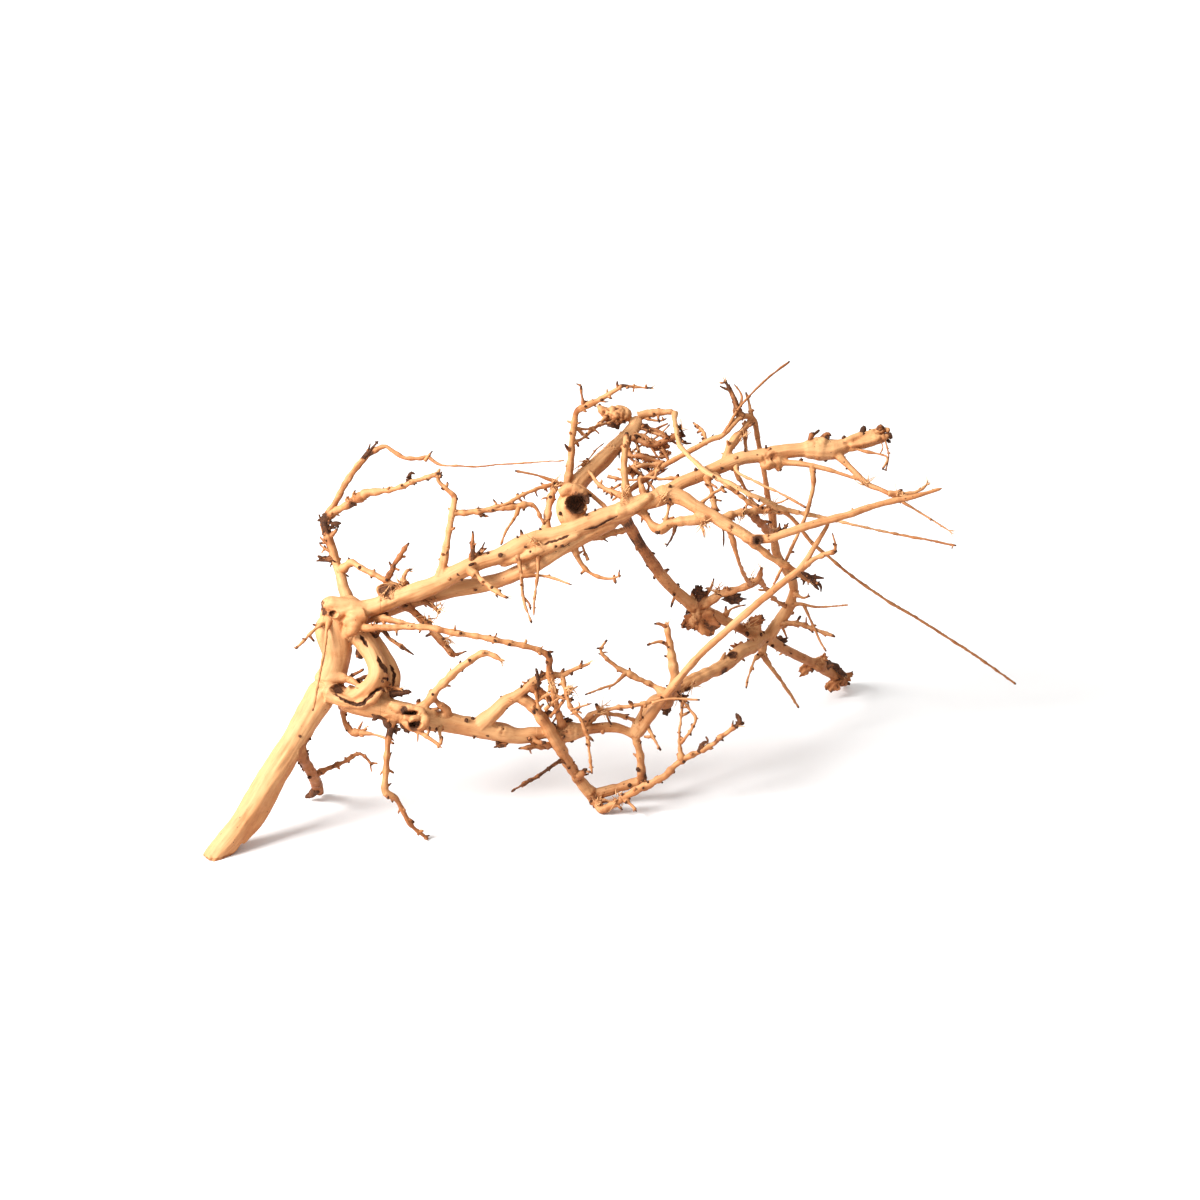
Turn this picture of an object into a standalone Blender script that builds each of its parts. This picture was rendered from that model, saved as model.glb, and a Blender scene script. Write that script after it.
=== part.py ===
"""A dry root: one piece of pale, weathered wood, a sawn trunk that splits into a tangle of limbs and twigs.

The root is laid out in millimetres on a drawing sheet that leans back LEAN degrees from the vertical. A
station is (across, up, back, radius): its place across and up the sheet, how far it stands behind the sheet,
and half the thickness of the wood there. Every limb begins inside the wood it grows from, and all of them are
fused into one closed body that stands on its sawn end and on three feet.
"""

from math import cos, radians, sin

import bmesh
import bpy
from mathutils import Matrix, Vector

MM = 0.001
LEAN = radians(30.0)           # how far the drawing sheet leans back
SAWN_END_ACROSS = 15.9         # the sawn end's centre on the sheet, put at the origin
SAWN_END_BACK = 10.1           # the same centre's distance back on the floor
SIDES = ((8.5, 8), (4.5, 6), (2.4, 5), (0.0, 4))   # a limb at least this thick has this many sides
RING_SPACING = (17.0, 1.2)     # ring spacing along a limb: a fixed length and a multiple of its radius
FLOOR_BLOCK = 1200.0           # size of the block that saws the trunk off level with the floor
WOOD_COLOUR = (0.72, 0.46, 0.26, 1.0)

LIMBS = (
    # trunk, crown and the two loops of wood beside it
    ("trunk", (11, -2, 8, 10.5), (17, 7, 9, 11), (34, 27, 10, 12.5), (51, 51, 11, 13.5), (68, 79, 12, 13),
     (88, 110, 13, 13.5), (103, 136, 14, 13.5), (118, 160, 16, 14.5), (130, 180, 18, 16)),
    ("left strand", (128, 176, 17, 15), (136, 198, 14, 13), (136, 213, 14, 16), (132, 229, 16, 17.5),
     (134, 243, 20, 14), (130, 254, 22, 9)),
    ("crown bar", (130, 248, 18, 11), (150, 246, 14, 11)),
    ("inner loop", (126, 172, 12, 12), (150, 161, 4, 9), (168, 171, 0, 9.5), (178, 186, -2, 10),
     (173, 203, 2, 9.5),
     (163, 219, 8, 10), (152, 232, 14, 11)),
    ("outer loop", (160, 230, 18, 9), (174, 218, 18, 8), (184, 203, 16, 8), (192, 188, 12, 7.5),
     (193, 177, 10, 7), (189, 168, 10, 7), (178, 162, 10, 7)),
    # the long lower limb and the long upper limb
    ("lower limb", (145, 163, 10, 13), (165, 156, 8, 13), (185, 151, 8, 12), (205, 146, 10, 12),
     (225, 141, 14, 12), (245, 138, 18, 10.5), (265, 134, 22, 10), (285, 130, 26, 10), (300, 127, 30, 10),
     (320, 124, 34, 8), (345, 127, 38, 6.5), (368, 128, 42, 10), (390, 131, 46, 5.5), (410, 132, 50, 5.5),
     (425, 129, 52, 4.5), (436, 122, 52, 4)),
    ("upper limb", (145, 245, 16, 10), (170, 252, 8, 9.5), (185, 257, 4, 9), (200, 263, 0, 8.5),
     (220, 270, -4, 9.5), (240, 278, -8, 9), (260, 289, -12, 9), (280, 298, -14, 8.5), (300, 304, -16, 8),
     (320, 314, -18, 9), (340, 322, -20, 8), (360, 326, -22, 8), (380, 333, -24, 8.5), (400, 342, -24, 9),
     (420, 348, -24, 9.5), (440, 357, -24, 9), (460, 363, -22, 9.5), (480, 376, -20, 6.5),
     (500, 384, -18, 6.5),
     (520, 393, -16, 7), (540, 401, -14, 7), (560, 404, -12, 7), (580, 408, -12, 7), (600, 410, -12, 7.5),
     (612, 411, -12, 10.5), (630, 410, -12, 10.5), (642, 413, -12, 8), (652, 417, -12, 5.5),
     (670, 421, -12, 7),
     (685, 423, -12, 5)),
    ("second limb", (148, 242, 20, 9), (165, 243, 20, 7), (215, 260, 16, 7), (240, 267, 14, 8),
     (260, 272, 12, 8), (280, 275, 8, 7.5),
     (300, 280, 2, 7.5), (320, 288, -6, 7.5), (340, 299, -12, 8), (360, 311, -16, 8), (380, 322, -18, 8),
     (400, 333, -18, 8), (420, 342, -18, 8)),
    ("thick rising limb", (372, 333, -20, 9), (372, 350, -10, 11), (375, 372, 0, 10.5),
     (385, 384, 8, 9.5), (400, 398, 18, 8.5),
     (413, 411, 26, 7.5), (425, 422, 34, 7), (434, 433, 40, 7), (438, 444, 44, 7)),
    # the upper left limb, its two long twigs and the twigs that fill the upper left gap
    ("left limb", (148, 245, 20, 9), (147, 262, 24, 7), (143, 272, 26, 6), (140, 285, 28, 5.5),
     (136, 296, 30, 5),
     (132, 310, 30, 5), (128, 321, 30, 5), (124, 335, 30, 4.5), (123, 345, 28, 4.5)),
    ("left top twig", (125, 340, 28, 4.5), (131, 352, 28, 3), (137, 362, 26, 3), (145, 377, 24, 3),
     (153, 389, 22, 3), (163, 401, 18, 2.7), (171, 408, 16, 2.5), (184, 414, 12, 2.2), (191, 410, 8, 2),
     (205, 402, 0, 2.2), (220, 401, -6, 2), (228, 403, -8, 2), (240, 395, -12, 1.4), (260, 394, -16, 1.1),
     (276, 393, -18, 1), (300, 395, -20, 1), (330, 397, -24, .9), (365, 399, -28, .8)),
    ("left long twig", (124, 342, 28, 4), (133, 348, 26, 3), (142, 353, 22, 3), (150, 357, 18, 3.2),
     (158, 362, 14, 4), (167, 367, 10, 4), (176, 368, 6, 3.2), (195, 371, -2, 2.5), (215, 379, -10, 2.2),
     (241, 386, -18.4, 2)),
    ("left side twig", (140, 289, 28, 4), (146, 295, 22, 3.5), (151, 297, 18, 3), (165, 291, 10, 2.6),
     (182, 282, 6, 2.5), (200, 272, 6, 2.5), (206, 266, 2, 2)),
    ("left side stub", (186, 279, 6, 2.5), (193, 293, 2, 2.2), (205, 312, -4, 2), (209, 317, -6, 1.4)),
    ("left thorn", (134, 302, 30, 3), (115, 299, 28, 1)),
    ("upright twig", (240, 280, -9, 5), (244, 298, -12, 3.6), (247, 315, -14, 3.3), (251, 342, -17, 3),
     (255, 362, -18, 2.6), (249, 369, -18, 2.2), (238, 380, -18, 2), (243, 389, -19, 1.2)),
    ("level twig", (253, 347, -17, 2.8), (275, 348, -20, 2.6), (295, 351, -22, 2.5), (315, 353, -22, 3),
     (325, 355, -22, 3), (334, 353, -22, 1.8), (345, 335, -20, 1.5)),
    ("arched twig", (287, 350, -22, 2), (305, 356, -24, 1.6), (320, 363, -22, 1.7), (335, 370, -20, 1.8),
     (354, 376, -13, 2)),
    ("hooked twig", (319, 353, -22, 2), (315, 342, -25, 1.4), (306, 327, -24, 1.2), (301, 315, -20, 1)),
    ("short prong", (273, 296, -16, 3), (273, 317, -20, 1.8), (273, 329, -22, 1.2)),
    ("hanging prong", (268, 292, -16, 4), (280, 281, -26, 2.5), (290, 274, -32, 2.2), (304, 264, -40, 1.8),
     (309, 262, -42, 1.2)),
    ("torn prong", (202, 270, 0, 3), (206, 287, -2, 2), (212, 291, -2, 1.4)),
    ("middle post", (345, 322, -18, 4), (349, 350, -16, 3.2), (351, 360, -14, 3.2), (356, 378, -12, 3)),
    ("middle arch", (357, 376, -13, 2.4), (375, 374, -16, 2), (385, 370, -18, 2.2), (403, 355, -22, 2.2),
     (410, 347, -23, 2.2)),
    ("middle wisp", (357, 378, -12, 1.8), (335, 385, -18, 1.2), (315, 389, -24, .9)),
    # the high twigs
    ("high twig", (364, 360, -8, 5), (368, 382, -6, 4), (370, 395, -6, 3.5), (373, 425, -10, 3),
     (375, 440, -12, 3), (377, 449, -14, 3), (387, 454, -16, 2.7), (397, 459, -18, 2.5),
     (415, 469, -22, 2.3),
     (422, 474, -24, 2), (430, 473, -24, 1.5), (454, 471, -24, 1.2)),
    ("high hook", (384, 453, -15, 1.8), (382, 465, -17, 1.4), (381, 474, -18, 1.1)),
    ("high link", (374, 431, -10, 1.6), (385, 431, -2, 1.4), (405, 437, 18, 1.4), (418, 442, 34, 2)),
    ("low link", (373, 417, -9, 1.8), (385, 423, 2, 1.6), (392, 430, 12, 1.6), (408, 445, 34, 2)),
    ("burl spike", (410, 446, 38, 5), (402, 451, 37, 3), (397, 455, 36, 1.5)),
    ("burl arm", (438, 444, 44, 4), (450, 447, 44, 3.3), (460, 448, 42, 3), (470, 449, 38, 2.5),
     (476, 447, 34, 2)),
    ("pale rod", (475, 448, 35, 2.4), (475, 440, 28, 2.2), (478, 420, 10, 2.2), (483, 410, -2, 2.3),
     (503, 390, -30, 2.5), (515, 383, -38, 2.3), (530, 376, -44, 2.3), (545, 367, -46, 2.3),
     (557, 362, -44, 2.5), (568, 357, -38, 3), (578, 352, -30, 3), (590, 349, -24, 2.5),
     (605, 346, -22, 2.2),
     (620, 343, -20, 2), (645, 337, -30, 1.4), (680, 329, -32, 1.2), (720, 321, -36, 1.1),
     (755, 314, -40, 1)),
    ("burl twig", (436, 436, 41, 3.6), (450, 431, 38, 2.8), (460, 428, 34, 2.5), (472, 421, 28, 2.2),
     (483, 428, 26, 3.5)),
    # the limb that leans back to the ground behind
    ("leaning limb", (422, 345, -20, 7), (430, 332, -2, 6), (437, 320, 10, 6), (445, 308, 22, 6),
     (455, 294, 38, 6.3), (463, 283, 50, 6), (473, 272, 64, 6), (485, 261, 80, 6.5), (497, 253, 96, 8),
     (510, 247, 110, 6), (525, 240, 126, 5.5), (540, 232, 142, 5), (555, 226, 156, 6.5),
     (570, 220, 172, 5.5),
     (585, 212, 190, 5), (600, 204, 210, 5), (615, 197, 230, 4.5), (625, 192, 242, 6), (640, 183, 268, 5),
     (652, 175, 294, 7)),
    ("leaning stub", (498, 254, 95, 6), (500, 258, 92, 6), (503, 268, 86, 5)),
    ("leaning arm", (500, 254, 96, 5), (516, 262, 84, 4), (522, 266, 80, 3.6), (545, 273, 70, 3.2),
     (555, 278, 66, 3.2), (560, 282, 64, 3), (563, 294, 60, 1.5)),
    ("leaning prong", (628, 193, 246, 3.5), (640, 192, 258, 3), (652, 182, 268, 3)),
    # the strand that climbs in an arch from the leaning limb
    ("arching strand", (570, 220, 172, 6), (578, 233, 160, 6), (587, 245, 150, 6), (593, 258, 140, 5),
     (596, 270, 130, 4.5), (594, 281, 120, 5), (587, 292, 110, 4.5), (580, 303, 100, 4.5), (576, 318, 88, 4),
     (573, 348, 64, 4), (569, 362, 54, 3), (565, 386, 36, 2.7), (559, 415, 18, 2.6), (557, 428, 12, 2.8),
     (555, 438, 8, 3), (551, 443, 4, 3), (545, 444, 0, 3), (538, 441, -4, 3), (531, 434, -6, 3),
     (522, 424, -8, 2.8), (510, 420, -8, 2.8), (490, 409, -4, 2.8), (465, 395, 0, 2.8), (450, 384, -4, 3),
     (437, 375, -10, 3), (427, 367, -18, 3), (424, 355, -22, 4)),
    # the right-hand branches of the upper limb
    ("right brace", (462, 366, -22, 9), (480, 362, -28, 7.5), (495, 353, -34, 6.5), (510, 345, -38, 6),
     (525, 336, -42, 6), (540, 327, -46, 5.5), (553, 319, -50, 5.5)),
    ("right long branch", (550, 320, -49, 5), (568, 321, -52, 4.5), (580, 325, -54, 4.2), (605, 333, -56, 4),
     (630, 340, -58, 3.7), (650, 346, -60, 3.4), (670, 353, -62, 3.2), (690, 358, -64, 3),
     (705, 361, -66, 2.8),
     (720, 365, -68, 2.3), (740, 371, -70, 1.6)),
    ("right low branch", (543, 325, -47, 5), (560, 310, -40, 3.5), (575, 300, -34, 3), (590, 292, -28, 3),
     (600, 284, -24, 2.2), (610, 277, -20, 1.2)),
    ("right high branch", (634, 408, -13, 5), (648, 394, -20, 3), (657, 385, -26, 3), (666, 376, -32, 3),
     (677, 371, -38, 2.5), (687, 366, -44, 2.2), (697, 360, -45, 1.8), (725, 343, -52, 1.3),
     (750, 327, -58, 1)),
    ("torn fork", (687, 366, -44, 2.4), (710, 366, -44, 2), (720, 371, -42, 1.5), (728, 377, -40, 1)),
    ("right under twig", (576, 406, -12, 5), (583, 398, -14, 3.5), (600, 396, -18, 3), (625, 391, -22, 2.5),
     (640, 386, -24, 2), (662, 379, -30, 1.5)),
    ("right hanging twig", (612, 394, -20, 2.6), (613, 380, -22, 2.3), (612, 370, -22, 2.2),
     (606, 347, -28, 1.9),
     (598, 327, -32, 1.7), (587, 303, -26, 1.5), (571, 270, -8, 1.2)),
    ("right end twig", (648, 414, -13, 2.4), (662, 409, -18, 1.4), (686, 403, -22, 1.1),
     (682, 390, -22, .9)),
    ("crossing twig", (536, 400, -14, 4), (537, 388, -22, 1.6), (555, 378, -30, 1.4), (580, 366, -38, 1.2),
     (605, 352, -46, 1)),
    ("crossing twig 2", (536, 398, -14, 3), (536, 386, -14, 2), (542, 375, -10, 2), (548, 365, -8, 2),
     (553, 357, -12, 2), (562, 351, -24, 2)),
    ("crossing twig 3", (512, 388, -18, 3), (525, 375, -34, 2), (535, 368, -30, 2), (555, 353, -24, 2),
     (568, 348, -22, 2)),
    ("crossing twig 4", (506, 386, -18, 3.5), (511, 370, -26, 2), (513, 360, -30, 2.5),
     (515, 345, -36, 3.5)),
    ("crossing twig 5", (498, 352, -35, 2), (505, 360, -32, 1.5), (524, 373, -33, 1.6)),
    ("drooping twig", (525, 338, -41, 4), (531, 323, -36, 2.6), (538, 300, -18, 2), (543, 288, 10, 2),
     (548, 279, 30, 2), (552, 276, 68, 2.4)),
    ("under strand", (436, 356, -22, 5), (447, 342, -26, 3.2), (453, 334, -30, 4), (461, 331, -32, 4.5),
     (470, 336, -34, 4), (485, 339, -36, 4), (510, 341, -39, 4.5)),
    ("under strand spur", (461, 332, -32, 3.4), (456, 326, -34, 2)),
    ("under strand tie", (465, 336, -32, 2), (468, 350, -28, 1.6), (470, 358, -26, 2)),
    ("cross rod", (520, 340, -40, 4), (540, 347, -34, 3), (555, 349, -28, 3), (570, 349, -20, 3),
     (590, 348, -23, 2.5)),
    ("cross tie", (550, 348, -30, 3.5), (562, 335, -10, 3.5), (570, 328, 20, 3), (575, 329, 60, 3),
     (575, 331, 78, 3)),
    ("long straight twig", (580, 351, -28, 2.2), (595, 338, -20, 2), (612, 317, -8, 1.8), (630, 302, 0, 1.6),
     (655, 282, 12, 1.5), (690, 258, 32, 1.5), (720, 241, 48, 1.4), (750, 222, 64, 1.4), (780, 203, 80, 1.3),
     (820, 175, 104, 1)),
    # the twigs of the middle top
    ("post", (427, 356, -23, 5), (425, 380, -20, 3.4), (424, 395, -16, 3), (425, 410, -12, 3),
     (427, 428, -6, 2.6)),
    ("post twig", (386, 392, 10, 3), (390, 387, 0, 1.5), (403, 372, -12, 2.3), (426, 361, -23, 2.6)),
    ("tangle 1", (436, 425, 38, 2), (450, 420, 30, 1.5), (460, 413, 26, 1.5), (467, 403, 10, 1.6),
     (468, 396, 1, 1.8)),
    ("tangle 2", (430, 424, 34, 3), (445, 417, 24, 2.5), (455, 415, 24, 2.5), (475, 424, 22, 2.5),
     (481, 427, 25, 2.5)),
    ("tangle 3", (426, 421, 32, 3), (430, 405, 16, 2), (440, 404, 12, 2), (466, 396, 1, 2)),
    ("tangle 4", (426, 388, -16, 2.4), (430, 391, 6, 2), (445, 395, 4, 2), (466, 396, 1, 2)),
    ("tangle 5", (445, 360, -22, 3), (440, 382, -14, 1.5), (460, 381, -18, 1.5), (485, 381, -19, 2)),
    ("top spike", (543, 443, -1, 3.2), (538, 448, -2, 3), (535, 460, -2, 2.5), (530, 470, -2, 2),
     (524, 480, -2, 1)),
    ("top long wisp", (524, 426, -8, 1.8), (533, 442, -8, 1.4), (543, 457, -6, 1.2), (568, 482, 6, 1),
     (590, 499, 18, .9)),
    ("top tie", (524, 396, -15, 4), (529, 411, -10, 3.5), (535, 421, -6, 4.5), (541, 428, 0, 3),
     (551, 440, 5, 2.6)),
    ("top thin spike", (552, 441, 4, 2), (549, 458, 6, 1.3), (546, 468, 8, 1)),
    ("top hook", (505, 416, -6, 2), (504, 427, 6, 1.6), (499, 433, 14, 1.5), (493, 438, 22, 1.2)),
    # the branch of the lower limb and its feet
    ("middle branch", (280, 135, 22, 9), (295, 148, 18, 7.5), (305, 158, 14, 6.5), (315, 163, 12, 5.5),
     (325, 170, 10, 5), (333, 178, 8, 4.5), (342, 183, 6, 4), (352, 185, 4, 3.5), (363, 185, 2, 3.2),
     (375, 191, 0, 2.3), (391, 197, -4, 1.6)),
    ("middle branch lobe", (330, 174, 9, 3.5), (345, 164, 12, 3), (352, 158, 14, 2.6)),
    ("foot branch", (316, 164, 13, 5.5), (326, 159, 14, 5), (335, 150, 17, 5), (344, 138, 22, 5.4),
     (352, 125, 29, 5.4), (360, 111, 41, 5), (367, 98, 55, 4.7), (373, 88, 65, 4.5), (379, 79, 73, 4.8),
     (386, 70, 80, 4.8), (394, 61, 86, 5.6), (399, 52, 79, 3.6), (401, 45, 74, 2.8)),
    ("foot bridge", (392, 63, 87, 5), (406, 67, 84, 4.3), (420, 71, 82, 4), (432, 75, 80, 4),
     (442, 78, 78, 4.2),
     (442, 84, 74, 4), (441, 96, 68, 3.8), (439, 110, 60, 3.4), (436, 122, 53, 3.8), (440, 131, 46, 3.5)),
    ("low runner", (401, 48, 75, 3), (415, 54, 70, 3), (425, 61, 66, 3.5), (435, 67, 62, 3.4),
     (450, 75, 56, 3), (465, 84, 50, 3), (480, 97, 44, 3), (490, 103, 40, 3), (500, 108, 37, 2.6),
     (515, 118, 30, 2.4), (530, 129, 22, 2.2), (540, 136, 16, 1.8)),
    ("low runner twig", (482, 99, 43, 2.8), (480, 115, 42, 1.6), (480, 125, 40, 1.5), (482, 152, 36, 1.5),
     (483, 160, 34, 1.5)),
    ("low runner twig 2", (481, 116, 42, 1.5), (488, 125, 36, 1.4), (496, 140, 30, 1.4), (490, 150, 32, 1.4),
     (483, 160, 34, 1.4)),
    ("straight stick", (438, 125, 52, 5.5), (452, 146, 38, 5), (465, 163, 28, 4.5), (485, 188, 14, 3.6),
     (505, 210, 2, 3.5), (525, 228, -8, 3.5), (545, 246, -16, 3.5), (565, 263, -24, 3.5),
     (585, 280, -32, 3.4),
     (600, 292, -38, 3.4), (612, 310, -42, 3), (628, 337, -48, 2)),
    ("stick spur", (600, 291, -37, 3), (608, 297, -40, 2.6), (618, 303, -44, 2.4), (636, 309, -50, 1.8)),
    ("heavy link", (436, 124, 52, 6), (440, 133, 50, 7), (455, 155, 56, 7), (468, 163, 62, 6.5),
     (480, 172, 70, 6), (495, 180, 80, 6), (510, 186, 90, 5.5), (522, 192, 100, 6), (533, 200, 110, 6),
     (545, 209, 122, 6), (557, 213, 134, 5), (562, 218, 152, 4.5), (568, 221, 170, 4.5)),
    ("knobby twig", (472, 165, 62, 6), (476, 180, 46, 5), (474, 192, 40, 4.3), (472, 204, 36, 3.8),
     (470, 216, 32, 3.3), (468, 226, 28, 3), (467, 238, 25, 2)),
    ("knobby twig top", (467, 233, 26, 1.8), (460, 236, 24, 1.3), (454, 236, 22, 1)),
    ("knobby twig side", (470, 214, 32, 2), (460, 218, 28, 1.5), (447, 215, 22, 1)),
    ("curled twig", (466, 165, 30, 4), (455, 173, 36, 2.6), (445, 178, 34, 2.5), (425, 188, 30, 2.7),
     (415, 194, 28, 2.2), (403, 205, 24, 1.7), (401, 212, 22, 1.5), (407, 220, 18, 1)),
    ("curled twig side", (426, 187, 30, 2), (415, 176, 24, 1.4), (403, 172, 20, 1.2), (385, 165, 12, 1)),
    ("woven twig", (381, 130, 44, 3), (390, 144, 36, 2.2), (400, 148, 32, 2.1), (420, 153, 26, 2),
     (435, 155, 22, 2), (466, 162, 26, 1.8)),
    ("woven twig 2", (385, 133, 45, 2.6), (398, 144, 44, 2), (410, 146, 44, 2), (432, 140, 48, 2),
     (440, 136, 50, 2.4)),
    # the long thin branch that crosses the middle gap, and what hangs below it
    ("bow branch", (148, 234, 14, 6), (165, 232, -6, 3.4), (180, 233, -12, 3.1), (195, 233, -16, 3),
     (225, 233, -20, 3), (240, 230, -22, 2.9), (270, 225, -24, 2.8), (300, 219, -24, 2.8),
     (330, 213, -20, 2.8),
     (343, 208, -16, 2.8), (349, 203, -12, 3), (349, 192, -6, 3), (351, 180, 0, 3), (354, 165, 8, 3),
     (357, 150, 18, 3.2), (362, 133, 36, 4)),
    ("hanging twig", (362, 185, 2, 2.4), (366, 168, -2, 2), (370, 155, -4, 2), (383, 135, -6, 1.7),
     (390, 105, -6, 1.5), (392, 86, -4, 1.2)),
    ("leaf-shaped hoop", (332, 122, 34, 4), (337, 118, 30, 2.2), (347, 115, 34, 2.2), (358, 112, 48, 2.4)),
    ("thorny hook", (367, 98, 54, 3), (359, 98, 46, 1.7), (347, 90, 38, 1.6), (330, 79, 28, 1.7),
     (311, 68, 16, 1.1)),
    ("crown rod", (172, 243, 19, 4), (192, 240, -6, 2.8), (212, 235, -14, 2)),
    ("crown fork", (197, 260, 6, 5), (213, 248, 14, 3.2), (222, 240, 18, 3.2), (230, 233, 20, 3.6),
     (236, 225, 16, 4), (243, 217, 14, 3.5), (250, 208, 12, 3), (255, 202, 10, 1.5)),
    ("crown fork prong", (246, 214, 13, 2.4), (254, 206, 11, 1.6), (267, 209, 6, 1)),
    ("crown fork 2", (216, 264, 2, 4), (222, 260, 6, 2), (232, 255, 4, 1.8), (240, 247, 2, 1.5)),
    ("loop thorn", (170, 224, 20, 4), (182, 230, 4, 2), (192, 220, 2, 1.8), (214, 205, -2, 1.3)),
    # the low twigs of the trunk and of the lower limb
    ("hanging wisp", (130, 240, 8, 4), (127, 230, -6, 1.6), (125, 212, -10, 1.3), (119, 180, -12, 1.1),
     (113, 149, -8, 1)),
    ("left spur", (130, 240, 10, 4), (122, 236, 0, 1.8), (112, 228, -6, 1.6), (96, 211, -12, 1.2)),
    ("near foot", (98, 118, 13, 7), (101, 105, 18, 5), (107, 93, 36, 4.5), (112, 83, 56, 4.5),
     (115, 73, 81, 5), (117, 65, 105, 3.5)),
    ("near foot toe", (114, 70, 82, 3.8), (109, 64, 92, 3), (103, 61, 96, 2.5)),
    ("near foot twig", (113, 83, 56, 3), (122, 89, 54, 2.4), (142, 97, 48, 2.2), (158, 105, 40, 1.8),
     (172, 94, 36, 1.1)),
    ("low hook", (142, 158, 14, 5), (143, 148, 28, 2.8), (144, 138, 30, 2.6), (149, 130, 30, 3),
     (154, 126, 28, 3.5), (167, 131, 24, 1.5)),
    ("low hook wisp", (153, 128, 29, 3), (178, 124, 20, 1.1), (194, 116, 14, 1)),
    ("down twig", (190, 147, 8, 6), (191, 132, 4, 4), (188, 118, 0, 3), (187, 102, -2, 3),
     (186, 88, -2, 2.8),
     (185, 75, 0, 3), (186, 67, 2, 3.5), (195, 62, 6, 3), (201, 52, 14, 2.5), (207, 40, 20, 2.3),
     (213, 32, 25, 2.2), (220, 26, 30, 2), (228, 20, 34, 1.5)),
    ("down twig claw", (190, 134, 4, 3), (180, 143, 0, 2), (172, 140, -2, 1.4)),
    ("fraying branch", (215, 143, 12, 7), (229, 160, 2, 4), (237, 170, -4, 3.6), (247, 180, -10, 3.5),
     (257, 190, -14, 3.3), (268, 198, -18, 3.2), (278, 205, -20, 3.2), (287, 207, -22, 3),
     (295, 204, -24, 2.5),
     (303, 199, -26, 1.6)),
    ("wedge", (244, 142, 16, 6), (246, 150, 10, 4), (238, 157, 4, 2.5), (232, 165, 0, 1.6)),
    ("splinter", (205, 146, 10, 5), (205, 138, 4, 3.5), (220, 128, -2, 2.5), (235, 118, -6, 2),
     (243, 111, -8, 1.1)),
    ("low spike", (242, 138, 16, 4), (240, 130, 8, 2), (241, 118, 6, 1.1)),
    ("loop stub", (175, 179, 0, 5), (192, 173, 4, 2.2), (202, 170, 2, 1.6)),
    # twigs of the leaning limb
    ("back twig", (590, 250, 146, 5), (601, 256, 136, 2), (620, 253, 126, 1.6), (652, 255, 110, 1.1)),
    ("back twig 2", (607, 254, 133, 1.6), (612, 243, 130, 1.3), (622, 220, 126, 1.1), (629, 208, 124, 1)),
    ("back twig 3", (580, 236, 157, 4), (592, 237, 148, 2.6), (605, 235, 140, 2.3), (625, 227, 128, 2),
     (638, 223, 120, 1.6)),
    ("back thorn", (592, 284, 116, 4), (603, 287, 104, 2.5), (610, 283, 98, 2.5), (621, 270, 90, 1.2)),
    ("grey stub", (565, 222, 164, 5), (565, 203, 160, 3.6)),
    ("leg twig", (565, 205, 160, 3), (575, 190, 170, 1.9), (585, 177, 180, 1.7), (603, 150, 198, 1.2)),
    ("hoop 1", (560, 281, 65, 2.6), (568, 270, 90, 1.8), (575, 262, 110, 1.8), (590, 252, 144, 2.4)),
    ("straggler", (564, 207, 161, 2.4), (555, 195, 150, 1.5), (548, 170, 142, 1.1)),
    # twigs under the upper limb
    ("under twig 1", (317, 308, -19, 4), (321, 288, -26, 1.8), (324, 260, -34, 1.5), (332, 237, -40, 1)),
    ("under twig 2", (339, 315, -20, 3), (338, 290, -28, 1.5), (335, 262, -34, 1.2), (334, 244, -38, 1)),
    ("under twig 3", (321, 284, -27, 2), (345, 284, -26, 1.5), (372, 275, -38, 1)),
    ("under twig 4", (372, 324, -20, 5), (378, 302, -12, 2.6), (390, 287, -10, 2), (408, 281, -12, 1.6),
     (422, 285, -16, 1)),
    ("under bark strip", (380, 323, -16, 4), (392, 322, 0, 3), (405, 324, 6, 2.8), (418, 329, 8, 2.6),
     (432, 332, 0, 3)),
    ("lump spur", (576, 405, -12, 5), (578, 398, -12, 6), (578, 388, -12, 2)),
)

# Burls, knots and swellings: across, up, back, half width, half height, half depth.
BURLS = (
    ("crown knob", 133, 246, 16, 13, 13, 12),
    ("crown", 150, 242, 14, 13, 12, 12),
    ("knot", 371, 352, -20, 15, 20, 13),
    ("high burl", 418, 446, 40, 14, 9, 10),
    ("arm burl", 498, 242, 98, 9, 12, 9),
    ("pale burl", 556, 229, 154, 8, 10, 9),
    ("end burl", 646, 179, 279, 9, 8, 9),
    ("end burl 2", 624, 194, 241, 8, 7, 8),
    ("limb swelling", 368, 128, 42, 10, 11, 11),
    ("dark swelling", 620, 411, -12, 12, 12, 11),
    ("fork burl", 466, 158, 46, 8, 8, 12),
    ("broken lump", 187, 270, 3, 11, 8, 9),
)


def place(across, up, back):
    """A point of the drawing sheet in metres, with the sawn end at the origin and the floor at zero."""
    return Vector((across - SAWN_END_ACROSS,
                   up * sin(LEAN) + back * cos(LEAN) - SAWN_END_BACK,
                   up * cos(LEAN) - back * sin(LEAN))) * MM


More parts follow.
